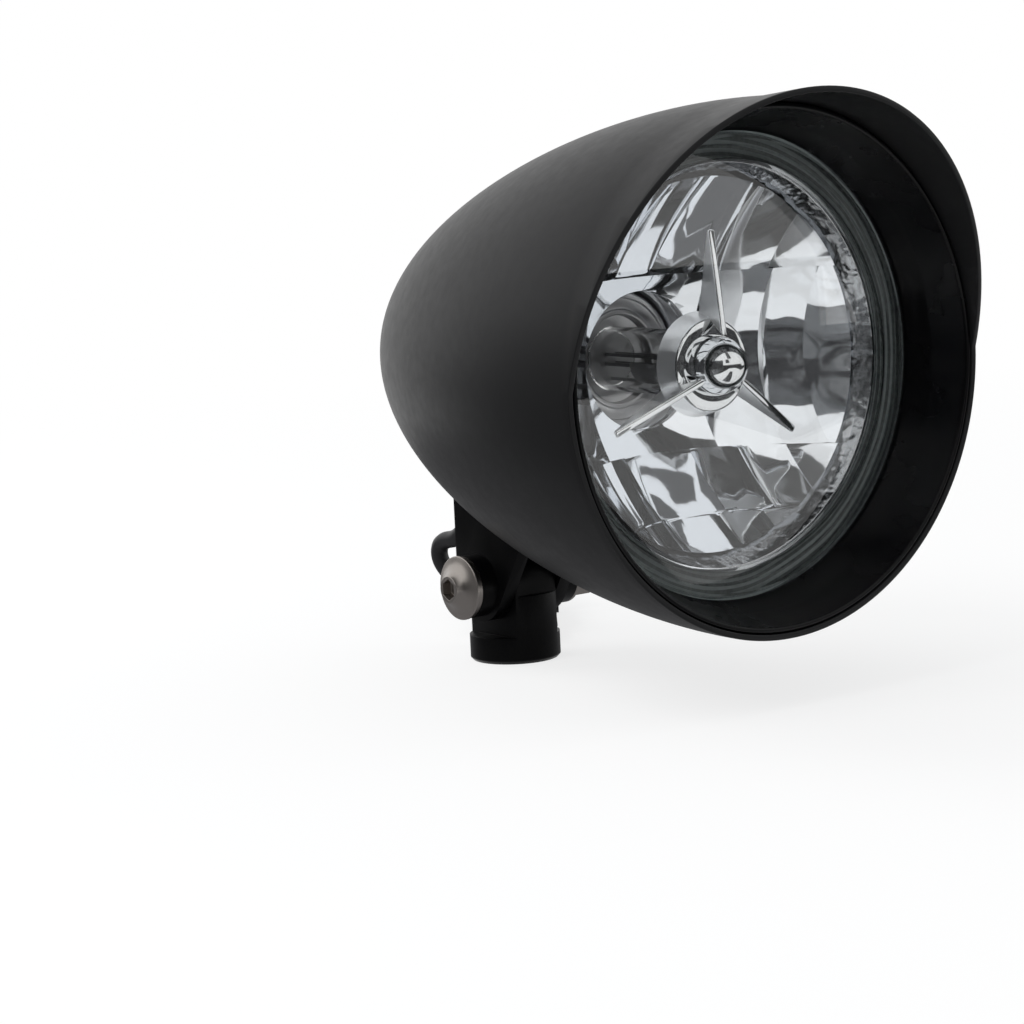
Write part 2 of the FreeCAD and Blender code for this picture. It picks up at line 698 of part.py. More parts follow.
finish("bulb_collar", turned("bulb_collar", [
    ("base_back", "0"),
    ("base_back", "base_radius"),
    ("flange_back", "base_radius"),
    ("flange_back", "bulb_flange"),
    ("bulb_seat", "bulb_flange"),
    ("bulb_seat", "neck_radius - collar_fit"),
    ("collar_front", "neck_radius - collar_fit"),
    ("collar_front", "collar_bore"),
    ("tube_foot", "collar_bore"),
    ("tube_foot", "0"),
]))
tip_centre = "(tube_foot + bulb_length - bulb_radius)"
bore_radius = "(bulb_radius - bulb_wall)"
finish("bulb_glass", turned("bulb_glass", [
    ("tube_foot", "bulb_radius"),
    ("tube_foot", bore_radius),
    (tip_centre, bore_radius, bore_radius),
    (f"{tip_centre} + {bore_radius}", "0"),
    ("tube_foot + bulb_length", "0", "-bulb_radius"),
    (tip_centre, "bulb_radius"),
]))
shield_tube = turned("shield_tube", [
    ("tube_foot + shield_start", "shield_radius"),
    ("tube_foot + shield_start", "shield_radius - shield_thick"),
    ("tube_foot + shield_start + shield_length", "shield_radius - shield_thick"),
    ("tube_foot + shield_start + shield_length", "shield_radius"),
])
lower_half = block("shield_lower", ("shield_length", "2 * shield_radius", "shield_radius"), (
    "tube_foot + shield_start", "-shield_radius", "axis_height - shield_radius"))
shield_leg = block("shield_leg", ("shield_start + wire_half", "2 * wire_half", "2 * wire_half"), (
    "tube_foot", "-wire_half", "axis_height - shield_radius + shield_thick / 4"))
finish("bulb_shield", fuse("shield_fused", [common("shield_half", shield_tube, lower_half), shield_leg]))

coils = []
for name, side in (("dip", "1"), ("main", "-1")):
    start = f"(tube_foot + {name}_filament_start)"
    height = f"(axis_height + {side} * (filament_radius + wire_half))"
    coils.append(rod(f"{name}_coil", "filament_radius", "filament_length + wire_half", (
        f"{start} - wire_half / 2", "0", height), Vector(1, 0, 0)))
    for end, way in (("foot", 1), ("tip", -1)):
        spot = start if end == "foot" else f"({start} + filament_length - 2 * wire_half)"
        reach = "(filament_radius + 3 * wire_half)"
        leg_side = f"({reach} - 2 * wire_half)" if way > 0 else f"(-1 * {reach})"
        link_side = "0" if way > 0 else f"(-1 * {reach})"
        low = f"({height} - wire_half)"
        leg_length = f"{spot} - tube_foot + 2 * wire_half"
        coils.append(block(f"{name}_{end}_leg", (leg_length, "2 * wire_half", "2 * wire_half"), (
            "tube_foot", leg_side, low)))
        coils.append(block(f"{name}_{end}_link", ("2 * wire_half", reach, "2 * wire_half"), (
            spot, link_side, low)))
finish("bulb_filaments", fuse("filaments_fused", coils))

blade_back = "(base_back - blade_length)"
blade_top = block("blade_top", ("blade_length", "blade_width", "blade_thick"), (
    blade_back, "-blade_width / 2", "axis_height + blade_offset"))
blade_sides = [
    block(f"blade_{name}", ("blade_length", "blade_thick", "blade_width"), (
        blade_back, place, "axis_height - blade_width + blade_offset / 2"))
    for name, place in (("left", "blade_offset"), ("right", "-blade_offset - blade_thick"))
]
finish("bulb_terminals", group("blades", [blade_top] + blade_sides))

ring_wire = doc.addObject("Part::Torus", "spring_ring")
ring_wire.Placement = Placement(Vector(), Rotation(Vector(0, 0, 1), Vector(1, 0, 0)))
spring_x = "(flange_back - spring_wire)"
bind(ring_wire, Radius1="spring_ring", Radius2="spring_wire",
     Placement__Base__x=spring_x, Placement__Base__z="axis_height")
spring_ends = [
    rod("spring_end_left", "spring_wire", "spring_reach - hole_gap", (
        spring_x, "spring_ring", "axis_height"), Vector(0, 1, 0)),
    rod("spring_end_right", "spring_wire", "spring_reach - hole_gap", (
        spring_x, "-spring_ring", "axis_height"), Vector(0, -1, 0)),
]
finish("bulb_spring", fuse("spring_fused", [ring_wire] + spring_ends))

boot_large = "(bulb_seat_radius + boot_fit)"
boot_small = "(base_radius + boot_fit)"
boot_back = "(base_back + boot_fit)"
cone_back = f"({boot_back} + boot_sleeve)"
cone_front = "(bulb_seat + reflector_wall - boot_lip)"
finish("dust_boot", turned("dust_boot", [
    (boot_back, boot_small),
    (boot_back, f"{boot_small} + boot_wall"),
    (f"{cone_back} - boot_wall / 2", f"{boot_small} + boot_wall"),
    (f"{cone_front} - boot_wall", f"{boot_large} + boot_wall"),
    ("bulb_seat + reflector_wall", f"{boot_large} + boot_wall"),
    ("bulb_seat + reflector_wall", boot_large),
    (cone_front, boot_large),
    (cone_back, boot_small),
]))

plug_front = "(base_back - plug_gap)"
plug_back = f"({plug_front} - plug_length)"
plug_box = block("plug_box", ("plug_length", "plug_width", "plug_height"), (
    plug_back, "-plug_width / 2", "axis_height - plug_height / 2"))
doc.recompute()
plug_round = doc.addObject("Part::Fillet", "plug_rounded")
plug_round.Base = plug_box
plug_corner = size("plug_corner")
long_edges = [
    number for number, edge in enumerate(plug_box.Shape.Edges, start=1)
    if abs(edge.tangentAt(edge.FirstParameter).x) > 0.9
]
plug_round.Edges = [(number, plug_corner, plug_corner) for number in long_edges]
slot_deep = "(blade_length - plug_gap + plug_slot_gap)"
slot_back = f"({plug_front} - {slot_deep})"
slot_wide, slot_thin = "blade_width + 2 * plug_slot_gap", "blade_thick + 2 * plug_slot_gap"
slots = [block("slot_top", (slot_deep, slot_wide, slot_thin), (
    slot_back, "-blade_width / 2 - plug_slot_gap", "axis_height + blade_offset - plug_slot_gap"))]
side_low = "axis_height - blade_width + blade_offset / 2 - plug_slot_gap"
for name, place in (("left", "blade_offset"), ("right", "-blade_offset - blade_thick")):
    slots.append(block(f"slot_{name}", (slot_deep, slot_thin, slot_wide), (
        slot_back, f"{place} - plug_slot_gap", side_low)))
finish("bulb_plug", cut("plug_cut", plug_round, fuse("plug_slots", slots)))

# The lead: through the grommet, then free behind the post

grommet_inside = -size("shell_wall") - bow(size("grommet_flange"), -size("grommet_place"))
grommet = stepped([
    (size("grommet_flange"), grommet_inside - size("grommet_lip"), grommet_inside),
    (size("grommet_waist"), grommet_inside, size("grommet_lip")),
    (size("grommet_flange"), 0, size("grommet_lip")),
    (size("grommet_nose"), 0, size("grommet_length")),
])
bore_reach = 2 * size("grommet_length")
bore = stepped([(size("cable_radius + cable_bore_gap"), -bore_reach, bore_reach)])
finish("cable_grommet", shaped("cable_grommet", grommet.cut(bore), cable_place))

ARC_SHARE = 0.45


def tube(label, points, radius):
    """A round tube along straight runs joined by tangent arcs as large as the runs allow."""
    edges, radii, start = [], [], points[0]
    for before, corner, after in zip(points, points[1:], points[2:]):
        back, ahead = before - corner, after - corner
        reach = ARC_SHARE * min(back.Length, ahead.Length)
        back.normalize()
        ahead.normalize()
        half_turn = (math.pi - back.getAngle(ahead)) / 2
        bend = reach / math.tan(half_turn)
        first, last = corner + back * reach, corner + ahead * reach
        inward = (back + ahead).normalize()
        crest = corner + inward * (math.hypot(bend, reach) - bend)
        edges += [Part.LineSegment(start, first).toShape(), Part.Arc(first, crest, last).toShape()]
        radii.append(round(bend, 1))
        start = last
    edges.append(Part.LineSegment(start, points[-1]).toShape())
    path = Part.Wire(edges)
    section = Part.Wire(Part.Circle(points[0], points[1] - points[0], radius).toShape())
    solid = path.makePipeShell([section], True, False)
    print(label, "length", round(path.Length, 1), "bends", radii,
          "volume share", round(solid.Volume / (math.pi * radius ** 2 * path.Length), 4))
    return solid


cable_radius = size("cable_radius")
exit_way = cable_place.Rotation.multVec(Vector(0, 0, 1))
lead_exit = cable_place.Base + exit_way * size("grommet_length")
plug_exit = Vector(size(plug_back), 0, axis_z)
INNER_BENDS = [(-13.6, 0, 0), (-19.0, 0, -10.0)]
LEAD_STRAIGHT = 9.0
inner_route = [plug_exit] + [plug_exit + Vector(*bend) for bend in INNER_BENDS]
inner_route += [cable_place.Base - exit_way * LEAD_STRAIGHT, lead_exit]
finish("inner_lead", shaped("inner_lead", tube("inner_lead", inner_route, cable_radius)))

FIRST_RUN = 12.0
FREE_ROUTE = [
    (-33.6, 0, 29.0),
    (-33.0, 0, 21.4),
    (-25.8, 7.3, 13.0),
    (-17.9, 8.4, 8.0),
    (-13.1, 14.8, 5.2),
]
LAST_RUN = 8.0
hank_way = Rotation(Vector(0, 0, 1), 90 + size("hank_heading"))
hank_half = size("hank_width / 2")
lead_side = cable_radius - hank_half
hank_entry = hank_way.multVec(Vector(size("hank_start"), lead_side, size("hank_lift") + cable_radius))
free_route = [lead_exit, lead_exit + exit_way * FIRST_RUN] + [Vector(*point) for point in FREE_ROUTE]
free_route += [hank_entry - hank_way.multVec(Vector(LAST_RUN, 0, 0)), hank_entry]
finish("cable_lead", shaped("cable_lead", tube("cable_lead", free_route, cable_radius)))

# The rest of the lead, folded in a hank behind the post, with a tie round it and its connector on top

hank_low, hank_tall = size("hank_lift"), 4 * cable_radius
hank_straight = size("hank_length") - hank_half
hank_foot = Vector(size("hank_start"), 0, hank_low)
hank_body = Part.makeBox(hank_straight, 2 * hank_half, hank_tall, hank_foot - Vector(0, hank_half, 0))
hank_round = Part.makeCylinder(hank_half, hank_tall, hank_foot + Vector(hank_straight, 0, 0))
laid = Placement(Vector(), hank_way)
finish("cable_hank", shaped("cable_hank", hank_body.fuse(hank_round).removeSplitter(), laid))


def hank_band(growth):
    """A block round the hank's middle, grown outward."""
    start = size("hank_start + hank_length / 2 - tie_width / 2")
    corner = Vector(start, -hank_half - growth, hank_low - growth)
    return Part.makeBox(size("tie_width"), 2 * (hank_half + growth), hank_tall + 2 * growth, corner)


tie = hank_band(size("hole_gap + tie_thick")).cut(hank_band(size("hole_gap")))
finish("cable_tie", shaped("cable_tie", tie, laid))
connector_corner = Vector(size("hank_start + hank_length - connector_length - hank_width / 4"),
                           size("-connector_width / 2"), hank_low + hank_tall)
connector_box = Part.makeBox(
    size("connector_length"), size("connector_width"), size("connector_height"), connector_corner)
connector = connector_box.makeFillet(size("connector_corner"), connector_box.Edges)
finish("cable_connector", shaped("cable_connector", connector, laid))

# The mounting post: round below, flat-sided tongue with a round end above, tapped from below

post_blank = turned("post_blank", [
    ("0", "0"),
    ("post_radius - post_chamfer", "0"),
    ("post_radius", "post_chamfer"),
    ("post_radius", "pivot_height + post_radius"),
    ("0", "pivot_height + post_radius"),
], height="0", about="z")
side_view = plate("post_side", [
    ("-post_radius", "0"),
    ("post_radius", "0"),
    ("post_radius", "shoulder_height"),
    ("tongue_radius", "shoulder_height"),
    ("tongue_radius", "pivot_height", "-tongue_radius"),
    ("0", "pivot_height + tongue_radius", "-tongue_radius"),
    ("-tongue_radius", "pivot_height"),
    ("-tongue_radius", "shoulder_height"),
    ("-post_radius", "shoulder_height"),
], "3 * post_radius", height="0")
flats = [
    block(f"flat_{name}", ("3 * post_radius", "post_radius", "pivot_height + post_radius"), (
        "-1.5 * post_radius", place, "ledge_height"))
    for name, place in (("left", "tongue_width / 2"), ("right", "-tongue_width / 2 - post_radius"))
]
post_holes = [
    rod("post_thread", "thread_radius", "thread_depth", ("0", "0", "0")),
    rod("post_pivot", "bolt_radius + bolt_fit", "3 * post_radius", (
        "0", "-1.5 * post_radius", "pivot_height"), Vector(0, 1, 0)),
]
post_round = common("post_round", post_blank, side_view)
finish("mount_post", cut("post_cut", post_round, fuse("post_tools", flats + post_holes)))

# The bracket: two ears with bosses and a saddle web that follows the shell

edge_x = "(ear_radius * cos(ear_slope * 1deg))"
edge_z = "(pivot_height - ear_radius * sin(ear_slope * 1deg))"
knee_x = f"({edge_x} + ear_edge * sin(ear_slope * 1deg))"
knee_z = f"({edge_z} + ear_edge * cos(ear_slope * 1deg))"
ear_outline = [
    ("-ear_radius", "pivot_height", "-ear_radius"),
    ("0", "pivot_height - ear_radius", "-ear_radius"),
    (edge_x, edge_z),
    (knee_x, knee_z),
    (knee_x, "axis_height"),
    ("-ear_radius", "axis_height"),
]
ears = [
    plate(f"ear_{name}", ear_outline, "ear_thick", height="0", middle=f"{way} * (ear_inner + ear_thick / 2)")
    for name, way in (("left", "1"), ("right", "-1"))
]
bosses = [
    rod("boss_left", "boss_radius", "boss_length", ("0", "ear_outer", "pivot_height"), Vector(0, 1, 0)),
    rod("boss_right", "boss_radius", "boss_length", ("0", "-ear_outer", "pivot_height"), Vector(0, -1, 0)),
]
web_box = block("web_box", (f"saddle_back + {knee_x}", "2 * ear_inner", "axis_rise"), (
    "-saddle_back", "-ear_inner", "pivot_height"))
web_form = shaped("web_form", bullet(size("saddle_gap + saddle_thick"), visor))
web = common("saddle_web", web_box, web_form)
shell_room = shaped("shell_room", bullet(size("saddle_gap"), visor))
bracket_tools = [
    shell_room,
    rod("bracket_pivot", "bolt_radius + bolt_fit", "2 * boss_face", (
        "0", "-boss_face", "pivot_height"), Vector(0, 1, 0)),
]
for number, place in enumerate(screw_places):
    tapped = stepped([(size("bracket_screw_radius + bolt_fit"), -axis_z / 2, axis_z / 4)])
    bracket_tools.append(shaped(f"tapped_{number}", tapped, place))
bracket_solid = fuse("bracket_solid", ears + bosses + [web])
finish("mount_bracket", cut("bracket_cut", bracket_solid, fuse("bracket_tools", bracket_tools)))

screws = []
for start, place in zip(screw_starts, screw_places):
    head_seat = -size("shell_wall") - bow(size("bracket_screw_head"), start)
    screw = stepped([
        (size("bracket_screw_head"), head_seat - size("bracket_screw_head_height"), head_seat),
        (size("bracket_screw_radius"), head_seat, size("saddle_gap + saddle_thick")),
    ])
    screw.Placement = place
    screws.append(screw)
finish("bracket_screws", shaped("bracket_screws", Part.makeCompound(screws)))

# The pivot: button-head bolt, washers and nut

bolt_end = "(head_seat + nut_height + bolt_past_nut)"
bolt = turned("bolt_turned", [
    ("-head_seat - bolt_head_height", "0"),
    ("-head_seat - bolt_head_height", "bolt_crown", "bolt_dome"),
    ("-head_seat - bolt_flange", "bolt_dome"),
    ("-head_seat - bolt_flange", "bolt_head_radius"),
    ("-head_seat", "bolt_head_radius"),
    ("-head_seat", "bolt_radius"),
    (bolt_end, "bolt_radius"),
    (bolt_end, "0"),
], height="pivot_height", about="y")
socket = doc.addObject("Part::Prism", "bolt_socket")
socket.Polygon = 6
socket.Placement = Placement(Vector(), Rotation(Vector(0, 0, 1), Vector(0, 1, 0)))
bind(socket, Circumradius="bolt_hex", Height="bolt_hex_depth",
     Placement__Base__y="-head_seat - bolt_head_height", Placement__Base__z="pivot_height")
finish("pivot_bolt", cut("bolt_cut", bolt, socket))

washers = [
    turned(f"washer_{name}", [
        (start, "bolt_radius + bolt_fit"),
        (f"{start} + washer_thick", "bolt_radius + bolt_fit"),
        (f"{start} + washer_thick", "washer_radius"),
        (start, "washer_radius"),
    ], height="pivot_height", about="y")
    for name, start in (("left", "boss_face"), ("right", "-head_seat"))
]
finish("pivot_washers", group("washers", washers))

nut_blank = doc.addObject("Part::Prism", "nut_blank")
nut_blank.Polygon = 6
nut_blank.Placement = Placement(Vector(), Rotation(Vector(0, 0, 1), Vector(0, 1, 0)))
bind(nut_blank, Circumradius="nut_corner", Height="nut_height",
     Placement__Base__y="head_seat", Placement__Base__z="pivot_height")
nut_bore = rod("nut_bore", "bolt_radius + bolt_fit", "nut_height", (
    "0", "head_seat", "pivot_height"), Vector(0, 1, 0))
finish("pivot_nut", cut("nut_cut", nut_blank, nut_bore))

# Check every object, then write each piece

doc.recompute()
for thing in doc.Objects:
    if "Invalid" in thing.State or "Error" in thing.State:
        raise RuntimeError(f"{thing.Label} failed: {thing.State}")
os.makedirs("parts", exist_ok=True)
for label, thing in pieces.items():
    if thing.Shape.isNull() or not thing.Shape.isValid() or not thing.Shape.Solids:
        raise RuntimeError(f"{label} has no valid solid")
    thing.Shape.exportStep(f"parts/{label}.step")
    print(label, len(thing.Shape.Solids), "solids", round(thing.Shape.Volume, 1), "mm3")
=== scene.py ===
# %% [markdown]
# # A bullet headlight on a tilting foot
#
# The solids come from CAD, at their real size. This lesson gives them the finishes of the real lamp, and remodels
# the pieces whose edges and curves the light would give away: the spun shell, the lens, the fluted bowl behind it,
# the chrome star, the bolt and the lead. Everything is in metres, in the CAD model's own frame: X is the way the
# lamp shines, Y is to its left and Z is up.

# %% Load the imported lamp
import math

import bpy
from mathutils import Matrix, Vector


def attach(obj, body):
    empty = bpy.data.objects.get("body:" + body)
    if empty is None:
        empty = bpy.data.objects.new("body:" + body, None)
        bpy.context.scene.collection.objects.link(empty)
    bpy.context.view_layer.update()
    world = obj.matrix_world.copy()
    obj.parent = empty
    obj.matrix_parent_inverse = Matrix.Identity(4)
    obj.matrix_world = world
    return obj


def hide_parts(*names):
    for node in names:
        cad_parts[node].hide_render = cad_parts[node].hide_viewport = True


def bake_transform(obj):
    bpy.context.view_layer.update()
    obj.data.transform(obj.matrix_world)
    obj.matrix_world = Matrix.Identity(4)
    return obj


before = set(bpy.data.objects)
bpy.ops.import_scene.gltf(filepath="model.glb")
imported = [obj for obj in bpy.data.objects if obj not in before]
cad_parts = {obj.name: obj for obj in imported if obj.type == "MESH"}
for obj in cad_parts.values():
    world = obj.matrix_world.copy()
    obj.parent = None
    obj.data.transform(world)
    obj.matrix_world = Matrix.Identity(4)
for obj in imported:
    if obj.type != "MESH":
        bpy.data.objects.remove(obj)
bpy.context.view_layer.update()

# %% [markdown]
# ## The camera
#
# The picture was taken from ahead and to the lamp's right, a little above its axis. A long lens keeps the bullet's
# outline from swelling. The camera is aimed at a point on the lamp and stepped back along the line of sight, and
# its roll is set last, because a hand-held picture is never quite level.

# %% Place the camera
AZIMUTH, ELEVATION, ROLL = math.radians(53.26), math.radians(7.84), math.radians(-2.71)
AIM, DISTANCE = Vector((0.00129, 0.0, 0.0397)), 0.85
FOCAL_PIXELS, FRAME_PIXELS, SENSOR = 3162.0, 1024.0, 36.0

sight = Vector((
    math.sin(AZIMUTH) * math.cos(ELEVATION), -math.cos(AZIMUTH) * math.cos(ELEVATION), math.sin(ELEVATION)))
level = Vector((0, 0, 1)).cross(sight).normalized()
upright = sight.cross(level)
across = math.cos(ROLL) * level + math.sin(ROLL) * upright
upward = -math.sin(ROLL) * level + math.cos(ROLL) * upright
bpy.ops.object.camera_add()
camera = bpy.context.object
facing = Matrix((across, upward, sight)).transposed().to_4x4()
camera.matrix_world = Matrix.Translation(AIM + sight * DISTANCE) @ facing
camera.data.lens = FOCAL_PIXELS / FRAME_PIXELS * SENSOR
camera.data.sensor_width = SENSOR
camera.data.clip_start = 0.01
bpy.context.scene.camera = camera
print("camera lens", round(camera.data.lens, 1), "mm at", [round(c, 3) for c in camera.matrix_world.translation])

# %% [markdown]
# ## Working by hand, in code
#
# Most of the lamp is turned: its outline is drawn once, beside the axis, and spun. The outline is drawn as a
# person would draw it, by extruding one vertex from corner to corner. Operators act on whatever is selected, so
# every piece starts by clearing the selection.

# %% Tools for drawing and spinning
# Sizes are written in millimetres. Vertices closer than MERGE are the same one.
MM = 0.001
MERGE = 2e-6
FORWARD, FINE_STEPS = (1, 0, 0), 192
AXIS = Vector((0, 0, 83.1 * MM))
PIVOT = Vector((0, 0, 21.2 * MM))
print("axis", round(AXIS.z, 4), "m up, pivot", round(PIVOT.z, 4), "m up")


def clear_selection():
    """Leave edit mode and select nothing."""
    if bpy.context.object and bpy.context.object.mode != "OBJECT":
        bpy.ops.object.mode_set(mode="OBJECT")
    bpy.ops.object.select_all(action="DESELECT")


def make_active(piece):
    """Select this piece alone, ready for an operator."""
    clear_selection()
    piece.select_set(True)
    bpy.context.view_layer.objects.active = piece


def extrude(step):
    """In edit mode, extrude what is selected by one step."""
    bpy.ops.mesh.extrude_region_move(TRANSFORM_OT_translate={"value": step})


def draw_chain(name, points):
    """Edges through the points, drawn by extruding a single vertex. Leaves edit mode on."""
    clear_selection()
    bpy.ops.mesh.primitive_plane_add(size=MM, location=(0, 0, 0))
    piece = bpy.context.object
    piece.name = piece.data.name = name
    bpy.ops.object.mode_set(mode="EDIT")
    bpy.ops.mesh.select_mode(type="VERT")
    bpy.ops.mesh.select_all(action="SELECT")
    bpy.ops.mesh.merge(type="CENTER")
    bpy.ops.transform.translate(value=points[0])
    for before, after in zip(points, points[1:]):
        extrude(after - before)
    return piece


def merge_doubles():
    """In edit mode, select everything and merge the vertices that lie on each other."""
    bpy.ops.mesh.select_all(action="SELECT")
    bpy.ops.mesh.remove_doubles(threshold=MERGE)


def clean_faces():
    """Merge doubled vertices and turn every face outwards."""
    merge_doubles()
    bpy.ops.mesh.normals_make_consistent(inside=False)


def spin(center, axis, steps):
    """Turn the drawn chain once round the axis."""
    bpy.ops.mesh.select_all(action="SELECT")
    bpy.ops.mesh.spin(steps=steps, angle=math.tau, center=center, axis=axis)
    clean_faces()


# %% [markdown]
# With a few more tools a whole piece takes a line or two: an outline is spun or thickened, and then its sharp edges
# are rounded a little, because a real edge always is. Modifiers are applied at once, so that the next step works on
# the mesh that they leave.

# %% Tools for whole pieces


def apply_modifier(piece, kind, **settings):
    """Add a modifier with these settings and apply it."""
    make_active(piece)
    modifier = piece.modifiers.new(kind.lower(), kind)
    for setting, value in settings.items():
        setattr(modifier, setting, value)
    bpy.ops.object.modifier_apply(modifier=modifier.name)


def soften(piece, width, segments=3, angle=30):
    """Round the sharp edges a little, as paint, plating or wear does, and shade the rest smooth."""
    if width:
        apply_modifier(piece, "BEVEL", width=width, segments=segments, limit_method="ANGLE",
                       angle_limit=math.radians(angle), harden_normals=False)
    make_active(piece)
    bpy.ops.object.shade_smooth_by_angle(angle=math.radians(angle))


def turned(name, outline, bevel, steps, center=AXIS, axis=FORWARD, angle=30):
    """A piece spun from a closed outline of (along, radius) corners in millimetres."""
    way = Vector(axis)
    points = [center + way * along * MM + Vector((0, 0, radius * MM)) for along, radius in outline]
    if outline[0][1] > 0 or outline[-1][1] > 0:
        points.append(points[0])
    piece = draw_chain(name, points)
    spin(center, axis, steps)
    soften(piece, bevel * MM, angle=angle)
    print(name, len(piece.data.polygons), "faces")
    return piece


def flat_face(name, points):
    """One face through the corners, drawn as a closed chain. Leaves edit mode on."""
    piece = draw_chain(name, points + points[:1])
    merge_doubles()
    bpy.ops.mesh.edge_face_add()
    return piece


def slab(name, corners, thickness):
    """A flat piece in the upright plane along the axis, from (along, up) corners in millimetres."""
    piece = flat_face(name, [AXIS + MM * Vector((along, -thickness / 2, up)) for along, up in corners])
    extrude((0, thickness * MM, 0))
    clean_faces()
    return piece


def join(*pieces):
    """Make several pieces one, under the first one's name."""
    clear_selection()
    for piece in pieces:
        piece.select_set(True)
    bpy.context.view_layer.objects.active = pieces[0]
    bpy.ops.object.join()
    return pieces[0]


def arc(start, end, bulge, count):
    """Corners along an arc between two (along, radius) corners; a positive bulge lies left of its way."""
    a, b = Vector(start), Vector(end)
    chord = b - a
    half = chord.length / 2
    radius = (half ** 2 + bulge ** 2) / (2 * abs(bulge))
    left = Vector((-chord.y, chord.x)).normalized()
    middle = (a + b) / 2 - left * math.copysign(radius - abs(bulge), bulge)
    first = math.atan2(a.y - middle.y, a.x - middle.x)
    last = math.atan2(b.y - middle.y, b.x - middle.x)
    turn = (last - first + math.pi) % math.tau - math.pi
    angles = [first + turn * step / count for step in range(count + 1)]
    return [(middle.x + radius * math.cos(t), middle.y + radius * math.sin(t)) for t in angles]


# %% [markdown]
# ## Finishes
#
# Every finish starts from the Principled shader. What is the same all over a surface is set on its socket. What
# varies comes from a noise on Object coordinates, so the grain stays the same size on every piece and sticks to it
# when the lamp tilts.

# %% Tools for finishes
# A wave texture turns 20 radians a unit of its scale. Most of a noise lies between the two limits.
WAVE_FACTOR = 20
NOISE_LOW, NOISE_HIGH = 0.3, 0.7
TINT_LOW, TINT_HIGH = 0.35, 0.65


def new_finish(name, colour, **sockets):
    """A material with constant values on its shader's sockets."""
    material = bpy.data.materials.new(name)
    material.use_nodes = True
    shader = material.node_tree.nodes["Principled BSDF"]
    shader.inputs["Base Color"].default_value = (*colour, 1.0)
    for socket, value in sockets.items():
        shader.inputs[socket.replace("_", " ")].default_value = value
    return material


def on_piece(material, kind):
    """A texture node on the piece's own coordinates, and the mapping in front of it."""
    nodes, links = material.node_tree.nodes, material.node_tree.links
    place = nodes.new("ShaderNodeTexCoord")
    mapping = nodes.new("ShaderNodeMapping")
    texture = nodes.new(kind)
    links.new(place.outputs["Object"], mapping.inputs["Vector"])
    links.new(mapping.outputs["Vector"], texture.inputs["Vector"])
    return mapping, texture


def grain(material, scale, detail=4.0, stretch=(1, 1, 1)):
    """A noise on the piece's own coordinates; scale is in cells a metre."""
    mapping, noise = on_piece(material, "ShaderNodeTexNoise")
    mapping.inputs["Scale"].default_value = stretch
    noise.inputs["Scale"].default_value = scale
    noise.inputs["Detail"].default_value = detail
    noise.inputs["Roughness"].default_value = 0.55
    return noise.outputs["Fac"]


def rings(material, pitch):
    """Soft rings round the lamp's axis, about a pitch apart, that draw together and apart."""
    mapping, wave = on_piece(material, "ShaderNodeTexWave")
    mapping.inputs["Location"].default_value = -AXIS
    wave.wave_type, wave.rings_direction = "RINGS", "X"
    wave.inputs["Scale"].default_value = math.tau / (WAVE_FACTOR * pitch)
    wave.inputs["Distortion"].default_value = 8.0
    wave.inputs["Detail"].default_value = 1.0
    wave.inputs["Detail Scale"].default_value = 0.15
    return wave.outputs["Fac"]


def vary(material, socket, source, low, high):
    """Let a noise move one value of the shader between two limits."""
    nodes, links = material.node_tree.nodes, material.node_tree.links
    limits = nodes.new("ShaderNodeMapRange")
    limits.inputs["From Min"].default_value = NOISE_LOW
    limits.inputs["From Max"].default_value = NOISE_HIGH
    limits.inputs["To Min"].default_value = low
    limits.inputs["To Max"].default_value = high
    links.new(source, limits.inputs["Value"])
    links.new(limits.outputs["Result"], nodes["Principled BSDF"].inputs[socket])


def tint(material, source, dark, light):
    """Let a noise move the colour between two tones."""
    nodes, links = material.node_tree.nodes, material.node_tree.links
    ramp = nodes.new("ShaderNodeValToRGB")
    ends = ramp.color_ramp.elements
    ends[0].position, ends[0].color = TINT_LOW, (*dark, 1.0)
    ends[1].position, ends[1].color = TINT_HIGH, (*light, 1.0)
    links.new(source, ramp.inputs["Fac"])
    links.new(ramp.outputs["Color"], nodes["Principled BSDF"].inputs["Base Color"])


def emboss(material, source, height, strength):
    """Raise the surface by a noise."""
    nodes, links = material.node_tree.nodes, material.node_tree.links
    bump = nodes.new("ShaderNodeBump")
    bump.inputs["Strength"].default_value = strength
    bump.inputs["Distance"].default_value = height
    links.new(source, bump.inputs["Height"])
    links.new(bump.outputs["Normal"], nodes["Principled BSDF"].inputs["Normal"])


# %% [markdown]
# A finish goes on a whole piece, or on those of its faces that pass a test. A new piece also rides on a body, and
# the solids that it stands for are hidden.

# %% Tools for dressing a piece


def coat(piece, material):
    """Give a piece one finish all over."""
    piece.data.materials.clear()
    piece.data.materials.append(material)


def coat_faces(piece, material, test):
    """Give the faces that pass the test a second finish, and count them."""
    piece.data.materials.append(material)
    chosen = [face for face in piece.data.polygons if test(face)]
    for face in chosen:
        face.material_index = 1
    return len(chosen)


def from_axis(face):
    """How far the middle of a face lies from the lamp's axis."""
    return math.hypot(face.center.y, face.center.z - AXIS.z)


def dress(piece, body, material, slot, *nodes):
    """Give a new piece its finish and its body, and hide the nodes that it stands for. The slot is not used."""
    coat(piece, material)
    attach(piece, body)
    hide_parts(*nodes)


# %% [markdown]
# ### Black paint, three ways
#
# The shell is powder coated: a satin black with a faint orange peel, whose sheen rises at grazing angles and pales
# the outline. The ring in its mouth is sprayed gloss. The foot is cast, so it gets a coarser texture under the same
# black. The blacks differ in roughness and relief far more than in colour.

# %% Powder coat, gloss black and cast black
powder_coat = new_finish("powder_coat", (0.0095, 0.0095, 0.01), Specular_IOR_Level=0.15)
peel = grain(powder_coat, 900.0, detail=3.0)
vary(powder_coat, "Roughness", grain(powder_coat, 300.0), 0.37, 0.42)
emboss(powder_coat, peel, 0.00003, 0.35)

